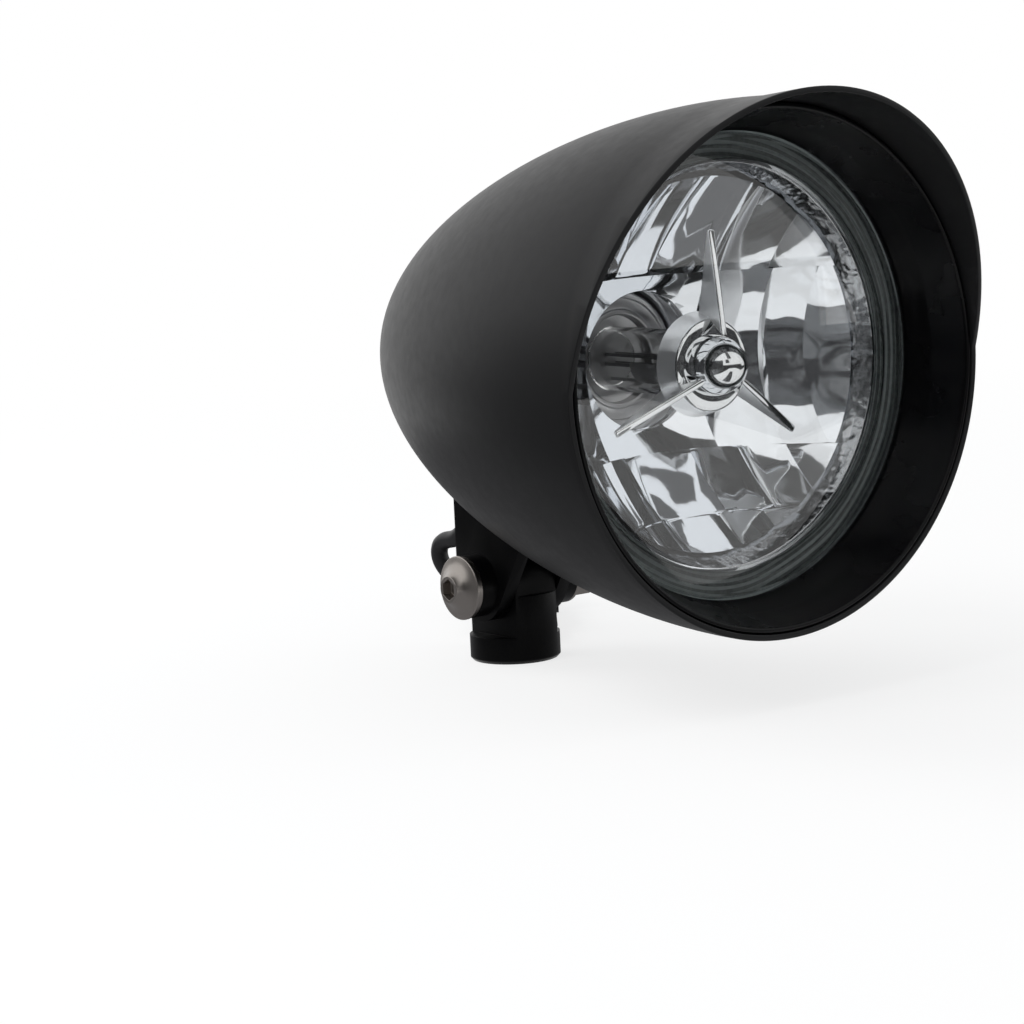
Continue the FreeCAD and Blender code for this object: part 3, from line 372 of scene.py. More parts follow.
gloss_black = new_finish("gloss_black", (0.0018, 0.0018, 0.0022), Specular_IOR_Level=0.1, Coat_Weight=0.08,
                         Coat_Roughness=0.08)
vary(gloss_black, "Roughness", grain(gloss_black, 45.0), 0.24, 0.32)
emboss(gloss_black, grain(gloss_black, 60.0, detail=1.0), 0.00002, 0.1)

cast_black = new_finish("cast_black", (0.0018, 0.0018, 0.002), Specular_IOR_Level=0.12)
vary(cast_black, "Roughness", grain(cast_black, 120.0), 0.28, 0.42)
emboss(cast_black, grain(cast_black, 1500.0, detail=6.0), 0.00005, 0.4)
print("black paints", powder_coat.name, gloss_black.name, cast_black.name)

# %% [markdown]
# ### Bright metals and glass
#
# The bowl is lacquered and aluminised, so it is a mirror with a slight swim in it, and its margin is the same mirror
# over a stipple. The star is chromed plastic, sharper still where it is polished, and dull where it is satin. The
# bolt is turned stainless, whose tool marks run round it. Glass is left to the shader's own refraction, with a trace
# of green. The lens's ground edge is not clear: it is a dull grey-green, with soft rings that the glass before it
# bends.

# %% Mirror, chrome, steel and glass
bowl_mirror = new_finish("bowl_mirror", (0.84, 0.86, 0.89), Metallic=1.0)
vary(bowl_mirror, "Roughness", grain(bowl_mirror, 90.0), 0.02, 0.06)
emboss(bowl_mirror, grain(bowl_mirror, 110.0, detail=2.0), 0.0001, 0.2)

chrome = new_finish("chrome", (0.78, 0.79, 0.8), Metallic=1.0)
vary(chrome, "Roughness", grain(chrome, 150.0), 0.02, 0.07)

satin_chrome = new_finish("satin_chrome", (0.95, 0.955, 0.96), Metallic=1.0)
vary(satin_chrome, "Roughness", grain(satin_chrome, 260.0), 0.3, 0.42)
emboss(satin_chrome, grain(satin_chrome, 900.0), 0.00005, 0.3)

stainless = new_finish("stainless", (0.39, 0.36, 0.335), Metallic=1.0)
turning = grain(stainless, 900.0, detail=3.0, stretch=(0.15, 1.0, 0.15))
vary(stainless, "Roughness", turning, 0.3, 0.4)
emboss(stainless, turning, 0.00002, 0.35)

zinc = new_finish("zinc", (0.5, 0.5, 0.5), Metallic=1.0)
vary(zinc, "Roughness", grain(zinc, 400.0), 0.3, 0.5)

stippled_mirror = new_finish("stippled_mirror", (0.45, 0.46, 0.475), Metallic=1.0)
vary(stippled_mirror, "Roughness", grain(stippled_mirror, 90.0), 0.08, 0.2)
emboss(stippled_mirror, grain(stippled_mirror, 210.0, detail=2.0), 0.0009, 0.5)

lens_clear = new_finish("lens_clear", (0.99, 0.997, 0.994), Roughness=0.0, IOR=1.5, Transmission_Weight=1.0)
ground_edge = new_finish("ground_edge", (0.3, 0.35, 0.34), Specular_IOR_Level=0.3)
tint(ground_edge, rings(ground_edge, 1.8 * MM), (0.12, 0.136, 0.136), (0.29, 0.33, 0.328))
vary(ground_edge, "Roughness", grain(ground_edge, 700.0), 0.2, 0.35)
bulb_clear = new_finish("bulb_clear", (0.98, 0.985, 0.985), Roughness=0.0, IOR=1.46, Transmission_Weight=1.0)

bulb_metal = new_finish("bulb_metal", (0.55, 0.55, 0.56), Metallic=1.0)
vary(bulb_metal, "Roughness", grain(bulb_metal, 300.0), 0.28, 0.45)
tungsten = new_finish("tungsten", (0.28, 0.28, 0.29), Metallic=1.0)
vary(tungsten, "Roughness", grain(tungsten, 900.0), 0.35, 0.5)
blade_brass = new_finish("blade_brass", (0.72, 0.57, 0.3), Metallic=1.0)
vary(blade_brass, "Roughness", grain(blade_brass, 500.0), 0.25, 0.45)
print("metals", bowl_mirror.name, stippled_mirror.name, chrome.name, satin_chrome.name, stainless.name, zinc.name)
print("glass and bulb", lens_clear.name, ground_edge.name, bulb_clear.name, bulb_metal.name, tungsten.name,
      blade_brass.name)

# %% [markdown]
# ### Rubber, sheath and nylon
#
# The soft blacks: matt rubber with a dusty bloom, the lead's smooth sheath with a little more shine, and moulded
# nylon with a fine spark texture.

# %% Rubber, sheath and nylon
black_rubber = new_finish("black_rubber", (0.02, 0.02, 0.02), Specular_IOR_Level=0.3)
tint(black_rubber, grain(black_rubber, 80.0), (0.014, 0.014, 0.014), (0.026, 0.026, 0.026))
vary(black_rubber, "Roughness", grain(black_rubber, 300.0), 0.6, 0.75)

lead_sheath = new_finish("lead_sheath", (0.012, 0.012, 0.013), Specular_IOR_Level=0.4)
vary(lead_sheath, "Roughness", grain(lead_sheath, 200.0), 0.38, 0.5)
emboss(lead_sheath, grain(lead_sheath, 700.0), 0.00003, 0.3)

black_nylon = new_finish("black_nylon", (0.018, 0.018, 0.019), Specular_IOR_Level=0.4)
vary(black_nylon, "Roughness", grain(black_nylon, 250.0), 0.42, 0.56)
emboss(black_nylon, grain(black_nylon, 2500.0), 0.00003, 0.4)
print("soft blacks", black_rubber.name, lead_sheath.name, black_nylon.name)

# %% [markdown]
# ## The shell
#
# The real shell is spun from sheet steel. Its outline is one Bezier curve from the tail to the rim, and the same
# curve is drawn here and turned into edges.

# %% Draw the bullet's outline
SHELL_FRONT, SHELL_RADIUS, SHELL_TAIL = 112.0, 65.3, -35.1
FRONT_TANGENT, TAIL_TANGENT, VISOR_REACH, VISOR_FLARE, SHEET = 64.5, 33.1, 17.0, 1.7, 1.5


def beside_axis(along, radius):
    """A point above the lamp's axis, in millimetres along it and away from it."""
    return AXIS + Vector((along * MM, 0, radius * MM))


clear_selection()
bpy.ops.curve.primitive_bezier_curve_add()
outline = bpy.context.object
tail, rim = outline.data.splines[0].bezier_points
for point in (tail, rim):
    point.handle_left_type = point.handle_right_type = "FREE"
tail.co, rim.co = beside_axis(SHELL_TAIL, 0), beside_axis(SHELL_FRONT, SHELL_RADIUS)
tail.handle_left, tail.handle_right = tail.co, beside_axis(SHELL_TAIL, TAIL_TANGENT)
rim.handle_left, rim.handle_right = beside_axis(SHELL_FRONT - FRONT_TANGENT, SHELL_RADIUS), rim.co
outline.data.resolution_u = 72
bpy.ops.object.convert(target="MESH")
shell = bpy.context.object
shell.name = shell.data.name = "spun_shell"
print("outline", len(shell.data.vertices), "points")

# %% [markdown]
# In front of the rim the outline runs on as a slightly flared cone, extruded in a few stretches, a little further
# than the visor reaches. Then it is spun. The mouth is cut twice: upright below the axis, and slanting forward above
# it, which leaves the visor. Solidify gives the sheet its thickness, and a bevel rounds the cut edge.

# %% Spin the bullet and cut its visor
STRETCHES, STRETCH, HAIR = 4, 0.3, 0.01


def select_where(piece, kind, test):
    """In edit mode, select just the vertices or the faces whose place passes the test."""
    bpy.ops.object.mode_set(mode="OBJECT")
    mesh = piece.data
    for part in (*mesh.vertices, *mesh.edges, *mesh.polygons):
        part.select = False
    for part in getattr(mesh, kind):
        part.select = test(part.co if kind == "vertices" else part.center)
    bpy.ops.object.mode_set(mode="EDIT")
    bpy.ops.mesh.select_mode(type="VERT" if kind == "vertices" else "FACE")


select_where(shell, "vertices", lambda co: co.x > (SHELL_FRONT - HAIR) * MM)
for _ in range(STRETCHES):
    extrude(Vector((VISOR_REACH, 0, VISOR_FLARE)) * STRETCH * MM)
spin(AXIS, FORWARD, FINE_STEPS)

mouth_line = AXIS + Vector((SHELL_FRONT * MM, 0, 0))
slant = Vector((SHELL_RADIUS, 0, -VISOR_REACH)).normalized()
bpy.ops.mesh.select_all(action="SELECT")
bpy.ops.mesh.bisect(plane_co=AXIS, plane_no=(0, 0, 1))
select_where(shell, "polygons", lambda co: co.z > AXIS.z)
bpy.ops.mesh.bisect(plane_co=mouth_line, plane_no=slant, clear_outer=True)
select_where(shell, "polygons", lambda co: co.z < AXIS.z)
bpy.ops.mesh.bisect(plane_co=mouth_line, plane_no=FORWARD, clear_outer=True)
clean_faces()
apply_modifier(shell, "SOLIDIFY", thickness=SHEET * MM, offset=-1.0, use_even_offset=True)
soften(shell, 0.5 * MM, angle=40)
dress(shell, "lamp", powder_coat, "shell_paint", "shell")
print("shell", len(shell.data.polygons), "faces")

# %% [markdown]
# ## The bezel ring
#
# A gloss black ring closes the mouth: a rounded bead at the front, a funnel that leads to the lens with a faint
# crease in it, and a wall behind that holds the lens unit. It is one closed outline, spun.

# %% Turn the bezel ring
bead = arc((111.2, 63.55), (111.2, 62.05), 0.7, 8)
funnel = [(106.0, 60.7), (102.3, 59.75), (101.6, 59.5), (98.6, 58.35), (96.0, 57.4)]
ring_back = [(95.5, 57.15), (94.5, 57.15), (94.5, 58.9), (83.5, 58.9), (83.5, 60.3), (94.5, 60.3), (108.0, 63.55)]
bezel = turned("bezel_funnel", bead + funnel + ring_back, bevel=0.2, steps=FINE_STEPS)
tab = slab("bezel_tab", [(84.9, -60.3), (43.0, -53.36), (43.0, -51.76), (84.9, -58.9)], 9.0)
soften(tab, 0.3 * MM)
bezel = join(bezel, tab)
dress(bezel, "lamp", gloss_black, "bezel_paint", "bezel_ring")

# %% [markdown]
# ## The lens
#
# The glass is pressed: a shallow dome in front, and a thick rim that steps back to seat in the ring. The steps are
# what draw the fine rings round its edge. Both faces of the dome are arcs, so the outline is mostly arcs. The rim's
# back and outside are ground, not polished, so those faces get the dull grey-green finish.

# %% Turn the lens
GLASS_APEX, GROUND_FROM, GROUND_SIDE, GROUND_LEAN = 101.2, 49.9, 57.5, -0.3
outer_dome = arc((GLASS_APEX, 0.0), (95.45, 54.6), -1.44, 40)
shoulder = [(95.2, 55.6), (94.6, 56.3), (93.7, 56.6), (93.7, 58.6)]
rim_back = [(88.56, 58.6), (88.56, 56.2), (89.2, 55.8), (89.2, 53.4), (88.56, 53.0), (88.56, 50.0)]
inner_dome = arc((92.3, 50.0), (97.2, 0.0), 1.22, 40)
lens_outline = outer_dome + shoulder + rim_back + inner_dome
lens = turned("lens_dome", lens_outline, bevel=0.2, steps=FINE_STEPS, angle=25)
dress(lens, "lamp", lens_clear, "lens_clear", "lens_glass")


def is_ground(face):
    """Whether a face of the lens is on the back or the outside of its rim."""
    out = from_axis(face)
    return out > GROUND_FROM * MM and (face.normal.x < GROUND_LEAN or out > GROUND_SIDE * MM)


print("lens edge", coat_faces(lens, ground_edge, is_ground), "ground faces")

# %% [markdown]
# ## The fluted bowl
#
# Behind the glass lies the bowl: rows of mirror flutes that spread the beam. Upright, every flute follows the same
# parabola. Across, it is flatter than the parabola, so the reflections break a little at each ridge. An extrusion
# gives just that: the parabola is drawn at the row's left edge and extruded across each flute in short steps. A tiny
# step at the ridges draws the fine line between two flutes. The middle row is nearly a plain bowl and has no such
# steps. Solidify gives the row its thickness, and a ring-shaped cutter trims it to the round bowl.

# %% Extrude the flutes, row by row
LATUS, BOWL_FOOT, MOUTH, FLUTE_EDGE, NECK, ROW_STEP = 68.0, 51.6, 49.5, 46.0, 17.5, 0.35
RIDGE_STEP, RIDGE_WIDTH, PLAIN_FLATNESS = 0.8, 0.005, 0.2
FLUTE_STEPS, ROW_POINTS, FLUTE_WALL = 6, 30, 1.1
CUTTER_BACK, CUTTER_FRONT, BOWL_STEPS = 30.0, 120.0, 160
# Each row: its lower and upper edge, its flatness and its ridge lines; lengths are shares of the mouth's radius.
FLUTE_ROWS = [
    (-1.00, -0.78, 0.5, (-0.40, -0.15, 0.15, 0.40)),
    (-0.78, -0.48, 0.5, (-0.65, -0.43, -0.23, 0.23, 0.43, 0.65)),
    (-0.48, 0.44, PLAIN_FLATNESS, (-0.79, -0.63, -0.36, 0.36, 0.63, 0.79)),
    (0.44, 1.00, 0.4, (-0.78, -0.50, -0.22, 0.06, 0.34, 0.62)),
]


def flute_row(number, low, high, flatness, lines):
    """One row of flutes: a parabola, extruded across each flute; a flatness of one is a straight chord."""
    sides = [-1.0, *lines, 1.0]
    foot = BOWL_FOOT + ROW_STEP * (number % 2)
    left_side = sides[0] * MOUTH
    heights = [(low + (high - low) * step / ROW_POINTS) * MOUTH for step in range(ROW_POINTS + 1)]
    points = [Vector((foot + (left_side ** 2 + up ** 2) / LATUS, left_side, up)) * MM + AXIS for up in heights]
    row = draw_chain(f"flutes_{number}", points)
    bpy.ops.mesh.select_all(action="SELECT")
    for flute, (left, right) in enumerate(zip(sides, sides[1:])):
        width = (right - left) / FLUTE_STEPS
        for step in range(FLUTE_STEPS):
            near, far = left + step * width, left + (step + 1) * width
            slope = (1 - flatness) * (far + near) + flatness * (right + left)
            extrude(Vector((slope * width * MOUTH ** 2 / LATUS, width * MOUTH, 0)) * MM)
        rise = RIDGE_STEP * (flatness - PLAIN_FLATNESS) * (1 if flute % 2 else -1)
        extrude(Vector((rise, RIDGE_WIDTH, 0)) * MM)
    clean_faces()
    faces_ahead = sum(face.normal.x * face.area for face in row.data.polygons) > 0
    apply_modifier(row, "SOLIDIFY", thickness=FLUTE_WALL * MM, offset=-1.0 if faces_ahead else 1.0)
    return row


def trim(row):
    """Cut a row to the ring between the bulb's neck and the plain margin."""
    corners = [(CUTTER_BACK, NECK), (CUTTER_BACK, FLUTE_EDGE), (CUTTER_FRONT, FLUTE_EDGE), (CUTTER_FRONT, NECK)]
    points = [beside_axis(along, radius) for along, radius in corners]
    cutter = draw_chain("trim_ring", points + points[:1])
    spin(AXIS, FORWARD, BOWL_STEPS)
    apply_modifier(row, "BOOLEAN", operation="INTERSECT", object=cutter, solver="EXACT")
    bpy.data.objects.remove(cutter)


rows = [flute_row(number, *row) for number, row in enumerate(FLUTE_ROWS)]
for row in rows:
    trim(row)
print("flute rows", [len(row.data.polygons) for row in rows])

# %% [markdown]
# The rest of the bowl is turned: the margin round the flutes, the flange that the glass sits on, the wall behind, and
# the neck with the bulb's seat. Its outline runs close behind the flutes, so the rows look pressed from the same
# sheet. The margin is stippled, so its faces get a rougher mirror.

# %% Turn the bowl's margin, wall and neck
WALL, BEHIND_FLUTES, HOOK_OUT, MARGIN_EDGE, MARGIN_LEAN = 1.2, 0.9, 24.55, 49.6, 0.2
behind = [(BOWL_FOOT + r ** 2 / LATUS, r) for r in (FLUTE_EDGE, 40.0, 34.0, 28.0, 22.0, NECK)]
bowl_outline = [(82.73, FLUTE_EDGE), (88.5, MOUTH), (88.5, 58.4), (87.3, 58.4), (87.3, 50.7)]
bowl_outline += [(along - WALL, radius + WALL) for along, radius in behind]
bowl_outline += [(45.5, 18.7), (45.5, 26.0), (44.3, 26.0), (44.3, NECK)]
bowl_outline += [(along - BEHIND_FLUTES, radius) for along, radius in reversed(behind)]
bowl_wall = turned("bowl_wall", bowl_outline, bevel=0.15, steps=BOWL_STEPS)
hook_outline = [(44.4, -3.0), (44.4, 3.0), (39.8, 3.0), (39.8, -3.0)]
hooks = [slab("spring_hook", hook_outline, 1.3) for _ in range(2)]
for hook, side in zip(hooks, (1, -1)):
    bpy.ops.object.mode_set(mode="OBJECT")
    hook.data.transform(Matrix.Translation((0, side * HOOK_OUT * MM, 0)))
    soften(hook, 0.2 * MM)
reflector = join(bowl_wall, *hooks, *rows)
reflector.name = reflector.data.name = "fluted_bowl"
soften(reflector, 0, angle=25)
dress(reflector, "lamp", bowl_mirror, "bowl_mirror", "reflector")


def in_margin(face):
    """Whether a face of the bowl is on the front of its margin."""
    return FLUTE_EDGE * MM < from_axis(face) < MARGIN_EDGE * MM and face.normal.x > MARGIN_LEAN


print("bowl", len(reflector.data.polygons), "faces, stippled", coat_faces(reflector, stippled_mirror, in_margin))

# %% [markdown]
# ## The three-armed star
#
# A chromed plastic moulding hides the bulb's tip: a cup with a flat face, a dome on it and three tapering arms.
# The cup is spun. One arm is drawn flat, thickened and rounded along its ridge, then copied twice round the axis.
# The moulding is polished but for the cup's side and the arms' flanks, which are satin, so it gets two finishes,
# chosen face by face.

# %% Spin the cup and copy the arm
STAR_TURN = math.radians(4.5)
DOME_REACH, DOME_RADIUS, CUP_FACE, DOME_STEPS = 9.7, 7.5, 85.0, 36
SATIN_FROM, FLANK_LEAN = 11.45, 0.95
slices = [step * math.pi / (2 * DOME_STEPS) for step in range(DOME_STEPS + 1)]
dome = [(CUP_FACE + DOME_REACH * math.cos(turn), DOME_RADIUS * math.sin(turn)) for turn in slices]
face_ring = [(CUP_FACE, 10.7)]
cup_side = arc((84.9, 11.0), (84.4, 11.5), -0.1, 3) + [(79.3, 13.0), (79.3, 11.6), (82.6, 11.0), (82.6, 0.0)]
star = turned("trim_star", dome + face_ring + cup_side, bevel=0, steps=128, angle=35)
arm = slab("star_arm", [(79.95, 11.5), (83.8, 11.5), (89.3, 7.1), (83.6, 33.0), (82.6, 33.0)], 1.8)
soften(arm, 0.65 * MM, segments=4)
coat(arm, chrome)
coat_faces(arm, satin_chrome, lambda face: abs(face.normal.y) > FLANK_LEAN)
bpy.ops.object.mode_set(mode="EDIT")
bpy.ops.mesh.select_all(action="SELECT")
bpy.ops.transform.rotate(value=STAR_TURN, orient_axis="X", center_override=AXIS)
for _ in range(2):
    bpy.ops.mesh.duplicate()
    bpy.ops.transform.rotate(value=math.tau / 3, orient_axis="X", center_override=AXIS)
bpy.ops.object.mode_set(mode="OBJECT")

coat(star, chrome)
coat_faces(star, satin_chrome, lambda face: from_axis(face) > SATIN_FROM * MM)
star = join(star, arm)
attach(star, "lamp")
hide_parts("trim_tribar")
print("star", len(star.data.polygons), "faces, satin", sum(face.material_index for face in star.data.polygons))

# %% [markdown]
# ## The bulb
#
# Deep in the neck sits the bulb's turned collar: a flat ring, a groove and a recess for the glass. The CAD outline
# has the main steps. The fine lips and grooves that catch the light are added to it here.

# %% Turn the bulb's collar
collar_outline = [
    (33.0, 0.0), (33.0, 11.5), (42.8, 11.5), (42.8, 21.5), (44.3, 21.5), (44.3, 17.2), (48.9, 17.2), (49.5, 16.6),
    (49.5, 15.6), (48.9, 15.3), (48.9, 12.7), (49.5, 12.4), (49.5, 11.5), (49.2, 11.2), (46.5, 11.2), (46.5, 0.0)]
collar = turned("bulb_collar_turned", collar_outline, bevel=0.15, steps=128)
dress(collar, "lamp", bulb_metal, "bulb_metal", "bulb_collar")

# %% [markdown]
# ## The pivot bolt
#
# A stainless flanged button head clamps the foot. Head and shank are one spun outline. A six-sided cutter sinks the
# socket, and a fine bevel breaks every edge, as tumbling does.

# %% Turn the bolt and sink its socket
HEAD_TOP, KEY_RADIUS, KEY_DEPTH = -21.4, 2.89, 5.6
crown = arc((HEAD_TOP, 3.6), (-18.15, 7.6), -0.62, 10)
flange = [(-17.95, 8.35), (-17.7, 8.6), (-17.0, 8.6), (-17.0, 4.0)]
shank = [(24.4, 4.0), (25.0, 3.4), (25.0, 0.0)]
bolt_outline = [(HEAD_TOP, 0.0)] + crown + flange + shank
bolt = turned("pivot_bolt_turned", bolt_outline, bevel=0, steps=96, center=PIVOT, axis=(0, 1, 0))
clear_selection()
bpy.ops.mesh.primitive_cylinder_add(
    vertices=6, radius=KEY_RADIUS * MM, depth=KEY_DEPTH * MM,
    location=PIVOT + Vector((0, HEAD_TOP * MM, 0)), rotation=(math.pi / 2, 0, 0))
hex_key = bpy.context.object
bpy.ops.object.transform_apply(location=True, rotation=True, scale=True)
apply_modifier(bolt, "BOOLEAN", operation="DIFFERENCE", object=hex_key, solver="EXACT")
bpy.data.objects.remove(hex_key)
soften(bolt, 0.14 * MM, angle=32)
dress(bolt, "lamp", stainless, "bright_steel", "pivot_bolt")
print("bolt", len(bolt.data.polygons), "faces")

# %% [markdown]
# ## Foot, bracket and small hardware
#
# The CAD shapes of the foot are right, but their edges are knife sharp, and a sharp edge never shows the fine
# highlight of a cast or machined one. So each mesh is copied, its loose triangles are merged back into whole faces,
# and a bevel breaks the edges.

# %% Break the edges of the foot's pieces
FLAT_ANGLE = math.radians(0.5)


def broken_edges(node, width, body, material, slot):
    """A copy of a CAD node with rounded edges, which stands for that node."""
    piece = bpy.data.objects.new(f"{node}_finished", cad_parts[node].data.copy())
    bpy.context.scene.collection.objects.link(piece)
    make_active(piece)
    bpy.ops.mesh.customdata_custom_splitnormals_clear()
    bpy.ops.object.mode_set(mode="EDIT")
    merge_doubles()
    bpy.ops.mesh.dissolve_limited(angle_limit=FLAT_ANGLE)
    soften(piece, width * MM)
    dress(piece, body, material, slot, node)
    print(piece.name, len(piece.data.polygons), "faces")


broken_edges("mount_post", 0.4, "mount", cast_black, "foot_paint")
broken_edges("mount_bracket", 0.35, "lamp", cast_black, "foot_paint")
broken_edges("pivot_washers", 0.15, "lamp", stainless, "bright_steel")
broken_edges("pivot_nut", 0.3, "lamp", stainless, "bright_steel")
broken_edges("bezel_screw", 0.3, "lamp", zinc, "plated_steel")
broken_edges("cable_grommet", 0.35, "lamp", black_rubber, "black_rubber")
broken_edges("cable_connector", 0.25, "mount", black_nylon, "black_nylon")
broken_edges("cable_tie", 0.15, "mount", black_nylon, "black_nylon")

# %% [markdown]
# ## The lead
#
# About thirty centimetres of limp, sheathed lead leave the grommet, bend down behind the bracket and are folded in a
# hank behind the foot, with a tie round it and a connector on its end. Its route is a handful of points on one smooth
# spline, the same points as the CAD route. A first copy of the spline has no thickness; it is made a mesh, and
# removed.

# %% Lay the lead on one spline
LEAD_EXIT, LEAD_DIAMETER = Vector((-14.9, 0.0, 40.7)) * MM, 4.8 * MM
HANK_BACK, HANK_LEFT = 0.8, 0.6


def in_hank(along, side, up):
    """A point of the hank, from its own directions, in millimetres. Its long way runs back and to the left."""
    return -HANK_BACK * along + HANK_LEFT * side, HANK_LEFT * along + HANK_BACK * side, up


free_points = [(-14.9, 0, 40.7), (-21.2, 0, 30.5), (-33.6, 0, 29.0), (-33.0, 0, 21.4), (-25.8, 7.3, 13.0),
               (-17.9, 8.4, 8.0), (-13.1, 14.8, 5.2), (-14.2, 22.7, 3.4), (-20.6, 27.5, 3.4)]
hank_turns = [
    (60, 9.6, 3.4), (92, 9.6, 3.4), (98.5, 9.2, 3.4), (103.6, 4.6, 3.4), (103.6, -4.6, 3.4), (98.5, -9.2, 3.4),
    (92, -9.6, 3.4), (60, -9.6, 3.4), (45, -9.6, 3.6), (39.5, -9.2, 4.2), (34.4, -4.6, 5.6), (34.4, 4.6, 7.2),
    (39.5, 9.2, 8.1), (45, 9.6, 8.2), (62, 9.4, 8.2), (70, 6.0, 8.3), (74, 2.0, 11.0), (76.5, 0.0, 14.4),
    (79.5, 0.0, 15.1)]
hank_points = [in_hank(*turn) for turn in hank_turns]


def lead_curve(name, thickness):
    """The lead's spline, with a round section where it has a thickness."""
    curve = bpy.data.curves.new(name, "CURVE")
    curve.dimensions = "3D"
    spline = curve.splines.new("NURBS")
    route = free_points + hank_points
    spline.points.add(len(route) - 1)
    for point, place in zip(spline.points, route):
        point.co = (*(Vector(place) * MM), 1.0)
    spline.order_u = 3
    spline.use_endpoint_u = True
    spline.resolution_u = 10
    curve.bevel_depth = thickness / 2
    curve.bevel_resolution = 5
    curve.use_fill_caps = True
    lead = bpy.data.objects.new(name, curve)
    bpy.context.scene.collection.objects.link(lead)
    return lead


centre_line = lead_curve("lead_line", 0)
line_mesh = bpy.data.meshes.new_from_object(centre_line.evaluated_get(bpy.context.evaluated_depsgraph_get()))
bpy.data.objects.remove(centre_line)

# %% [markdown]
# The tube is the same spline with a round section. It is made a mesh, shaded smooth, and it stands for the CAD lead
# and hank.

# %% Make the tube
lead = lead_curve("lead", LEAD_DIAMETER)
make_active(lead)
bpy.ops.object.convert(target="MESH")
lead = bpy.context.object
soften(lead, 0)
coat(lead, lead_sheath)
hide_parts("cable_lead", "cable_hank")
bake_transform(lead)
print("lead", len(lead.data.polygons), "faces")

# %% [markdown]
# ## What stays as it is
#
# The pieces inside the shell keep their CAD shapes, and only get their finishes.

# %% Finish the remaining solids
REMAINING = {
    "reflector_clips": zinc, "bulb_spring": zinc, "bracket_screws": zinc, "lens_gasket": black_rubber,
    "dust_boot": black_rubber, "bulb_glass": bulb_clear, "bulb_shield": bulb_metal, "bulb_filaments": tungsten,
    "bulb_terminals": blade_brass, "bulb_plug": black_nylon, "inner_lead": lead_sheath}
for node, material in REMAINING.items():
    coat(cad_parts[node], material)
print("finished", sorted(REMAINING))

# %% [markdown]
# ## Room and light
#
# A plain pale floor, a white surround and soft lamps. The surround is full white for what the camera, the mirrors
# and the glass see, and quieter for the light that it casts.

# %% Whiten the surround
studio = bpy.context.scene.world or bpy.data.worlds.new("studio")
bpy.context.scene.world = studio
studio.use_nodes = True
sky = studio.node_tree
sky.nodes.clear()


def seen_rays(tree):
    """One for rays from the camera, a mirror or glass, and nought for light cast on matt surfaces."""
    path = tree.nodes.new("ShaderNodeLightPath")
    seen = path.outputs["Is Camera Ray"]
    for kind in ("Is Glossy Ray", "Is Transmission Ray"):
        either = tree.nodes.new("ShaderNodeMath")
        either.operation = "MAXIMUM"
        tree.links.new(seen, either.inputs[0])
        tree.links.new(path.outputs[kind], either.inputs[1])
        seen = either.outputs[0]
    return seen


cast, shown = sky.nodes.new("ShaderNodeBackground"), sky.nodes.new("ShaderNodeBackground")
cast.inputs["Color"].default_value = (0.96, 0.98, 1.0, 1.0)
cast.inputs["Strength"].default_value = 0.72
shown.inputs["Color"].default_value = (1.0, 1.0, 1.0, 1.0)
shown.inputs["Strength"].default_value = 1.0
sky_mix, sky_out = sky.nodes.new("ShaderNodeMixShader"), sky.nodes.new("ShaderNodeOutputWorld")
sky.links.new(seen_rays(sky), sky_mix.inputs["Fac"])
sky.links.new(cast.outputs[0], sky_mix.inputs[1])
sky.links.new(shown.outputs[0], sky_mix.inputs[2])
sky.links.new(sky_mix.outputs[0], sky_out.inputs["Surface"])
bpy.context.scene.view_settings.view_transform = "Standard"
print("surround seen at", shown.inputs["Strength"].default_value, "and cast at",
      round(cast.inputs["Strength"].default_value, 2))

# %% [markdown]
# The floor is nearly white too, but keeps a shadow near the lamp. Further out it fades to the surround's white, so
# that no horizon shows: a share of its own light is mixed in, and the share grows with the distance.

# %% Lay the floor
FLOOR_WIDTH = 12.0
clear_selection()
bpy.ops.mesh.primitive_plane_add(size=FLOOR_WIDTH, location=(0, 0, 0))
floor = bpy.context.object
floor.name = "floor"
pale = new_finish("pale_floor", (0.9, 0.9, 0.9), Roughness=0.9, Specular_IOR_Level=0.0)
nodes, links = pale.node_tree.nodes, pale.node_tree.links
glow = nodes.new("ShaderNodeEmission")
glow.inputs["Strength"].default_value = 1.0
share = nodes.new("ShaderNodeMath")
share.operation = "MULTIPLY"
floor_place = nodes.new("ShaderNodeTexCoord")
near_lamp = nodes.new("ShaderNodeTexGradient")
near_lamp.gradient_type = "SPHERICAL"
fade = nodes.new("ShaderNodeMapRange")
fade.inputs["From Min"].default_value, fade.inputs["From Max"].default_value = 0.2, 0.85
fade.inputs["To Min"].default_value, fade.inputs["To Max"].default_value = 1.0, 0.75
floor_mix = nodes.new("ShaderNodeMixShader")
links.new(floor_place.outputs["Object"], near_lamp.inputs["Vector"])
links.new(near_lamp.outputs["Fac"], fade.inputs["Value"])
links.new(fade.outputs["Result"], share.inputs[1])
links.new(seen_rays(pale.node_tree), share.inputs[0])
links.new(share.outputs[0], floor_mix.inputs["Fac"])
links.new(nodes["Principled BSDF"].outputs[0], floor_mix.inputs[1])
links.new(glow.outputs[0], floor_mix.inputs[2])
links.new(floor_mix.outputs[0], nodes["Material Output"].inputs["Surface"])
floor.data.materials.append(pale)
print("floor", FLOOR_WIDTH, "m wide")

# %% [markdown]
# Two square lamps shape the black paint: the key from above the bolt's side, and a weaker one from behind, which
# draws the bullet's outline. Mirrors don't see them, because two squares in every mirror would give the studio away.

# %% Hang the lamps
BOX_WIDTH = 0.8


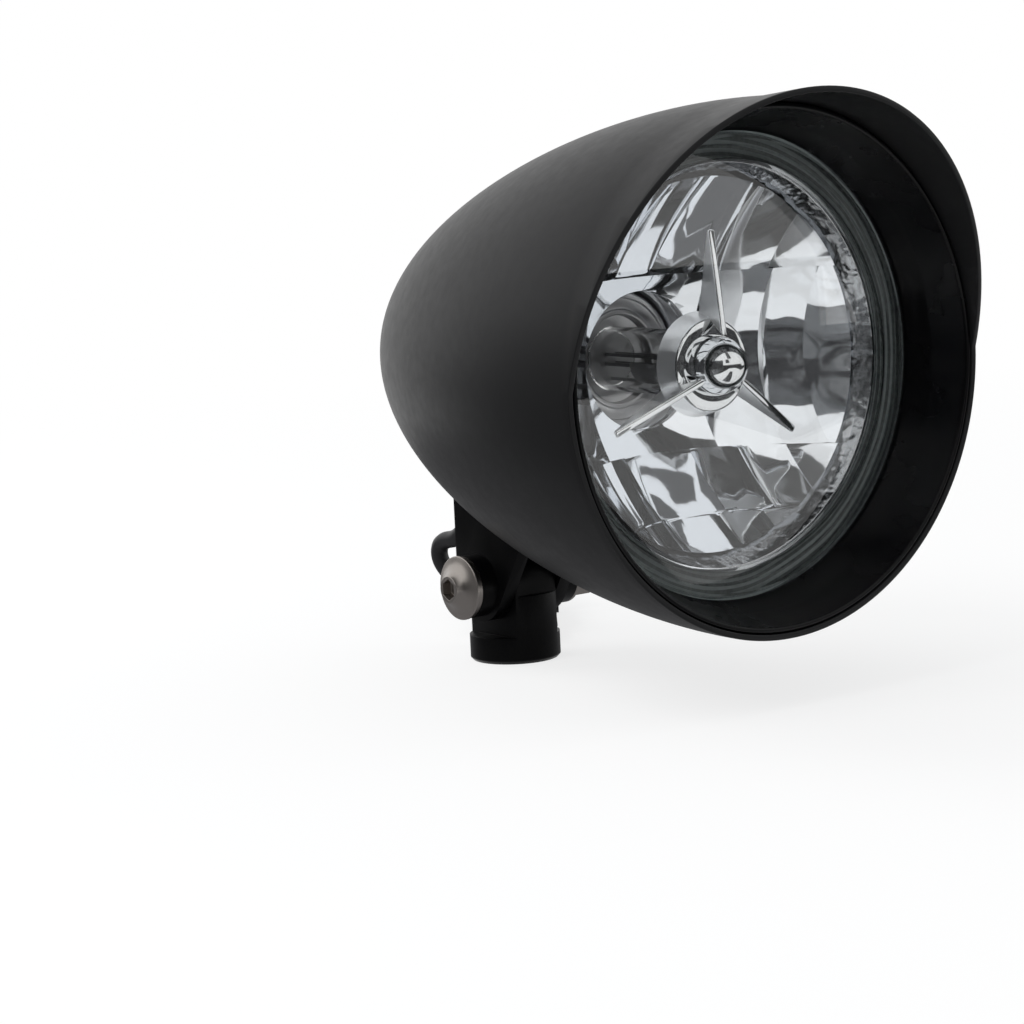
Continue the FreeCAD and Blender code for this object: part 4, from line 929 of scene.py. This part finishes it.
def softbox(name, place, target, power):
    """A square lamp at a place, turned to its target, that mirrors don't see."""
    bpy.ops.object.light_add(type="AREA", location=place)
    lamp = bpy.context.object
    lamp.name = name
    lamp.data.energy, lamp.data.size = power, BOX_WIDTH
    lamp.rotation_euler = (Vector(target) - Vector(place)).to_track_quat("-Z", "Y").to_euler()
    lamp.visible_glossy = False
    print(name, "lamp of", power, "W at", place)


softbox("key", (0.2, -1.2, 1.3), (0.03, 0, 0.08), 10.0)
softbox("rear", (-1.0, -0.5, 0.9), (0.0, 0, 0.1), 7.0)

# %% [markdown]
# ### Dark cards for the mirrors
#
# A mirror in an all-white room looks like fog: it needs something dark to show its shape. Photographers stand dark
# cards round bright metal and glass for that. Some of these lie on the floor. The others stand in front, at the side,
# in the corner between the two and behind, and one hangs overhead. Only mirrors and glass see them. They cast no
# light or shadow, and the camera looks past them.

# %% Stand the cards
DARK, BLUISH, CARD_LIFT = 0.05, 1.03, 0.001


def card(name, corners, grey):
    """A flat card through four corners, seen by mirrors and glass alone."""
    piece = flat_face(name, [Vector(corner) for corner in corners])
    bpy.ops.object.mode_set(mode="OBJECT")
    paper = bpy.data.materials.new(name)
    paper.use_nodes = True
    nodes = paper.node_tree.nodes
    nodes.remove(nodes["Principled BSDF"])
    tone = nodes.new("ShaderNodeEmission")
    tone.inputs["Color"].default_value = (grey, grey, grey * BLUISH, 1.0)
    paper.node_tree.links.new(tone.outputs[0], nodes["Material Output"].inputs["Surface"])
    piece.data.materials.append(paper)
    piece.visible_camera = piece.visible_diffuse = piece.visible_shadow = False


def floor_card(name, left, right, near, far, grey=DARK):
    """A card flat on the floor, between these sides."""
    corners = [(left, near), (right, near), (right, far), (left, far)]
    card(name, [(along, side, CARD_LIFT) for along, side in corners], grey)


floor_card("card_side_floor", -1.6, 1.6, -2.4, -0.12)
floor_card("card_rear_floor", -0.25, 0.09, -0.12, 0.3, 0.28)
floor_card("card_front_floor", 0.28, 1.6, 0.22, 1.8)
floor_card("card_far_floor", 0.7, 1.6, -0.12, 0.22)
floor_card("card_mid_floor", 0.13, 0.3, -0.03, 0.015, 0.1)
card("card_front", [(1.4, -1.5, 0), (1.4, 1.8, 0), (1.4, 1.8, 0.26), (1.4, -1.5, 0.26)], DARK)
card("card_side", [(-1.6, -1.5, 0), (1.4, -1.5, 0), (1.4, -1.5, 0.62), (-1.6, -1.5, 0.4)], 0.06)
card("card_side_high", [(0.3, -1.5, 0.4), (1.4, -1.5, 0.5), (1.4, -1.5, 1.05), (0.3, -1.5, 0.8)], 0.06)
card("card_corner", [(1.4, -1.5, 0.2), (1.4, -0.9, 0.2), (1.4, -0.9, 0.95), (1.4, -1.5, 1.05)], 0.06)
card("card_rear", [(-1.6, -0.6, 0), (-1.6, -1.5, 0), (-1.6, -1.5, 0.4), (-1.6, -0.6, 0.4)], 0.06)
card("card_front_high", [(1.0, -0.4, 0.36), (1.0, -0.13, 0.36), (0.95, -0.13, 0.62), (0.92, -0.36, 0.62)], 0.09)
card("card_overhead", [(0.5, -0.08, 1.0), (0.9, -0.17, 0.65), (0.95, 0.1, 0.65), (0.5, 0.1, 1.0)], 0.1)
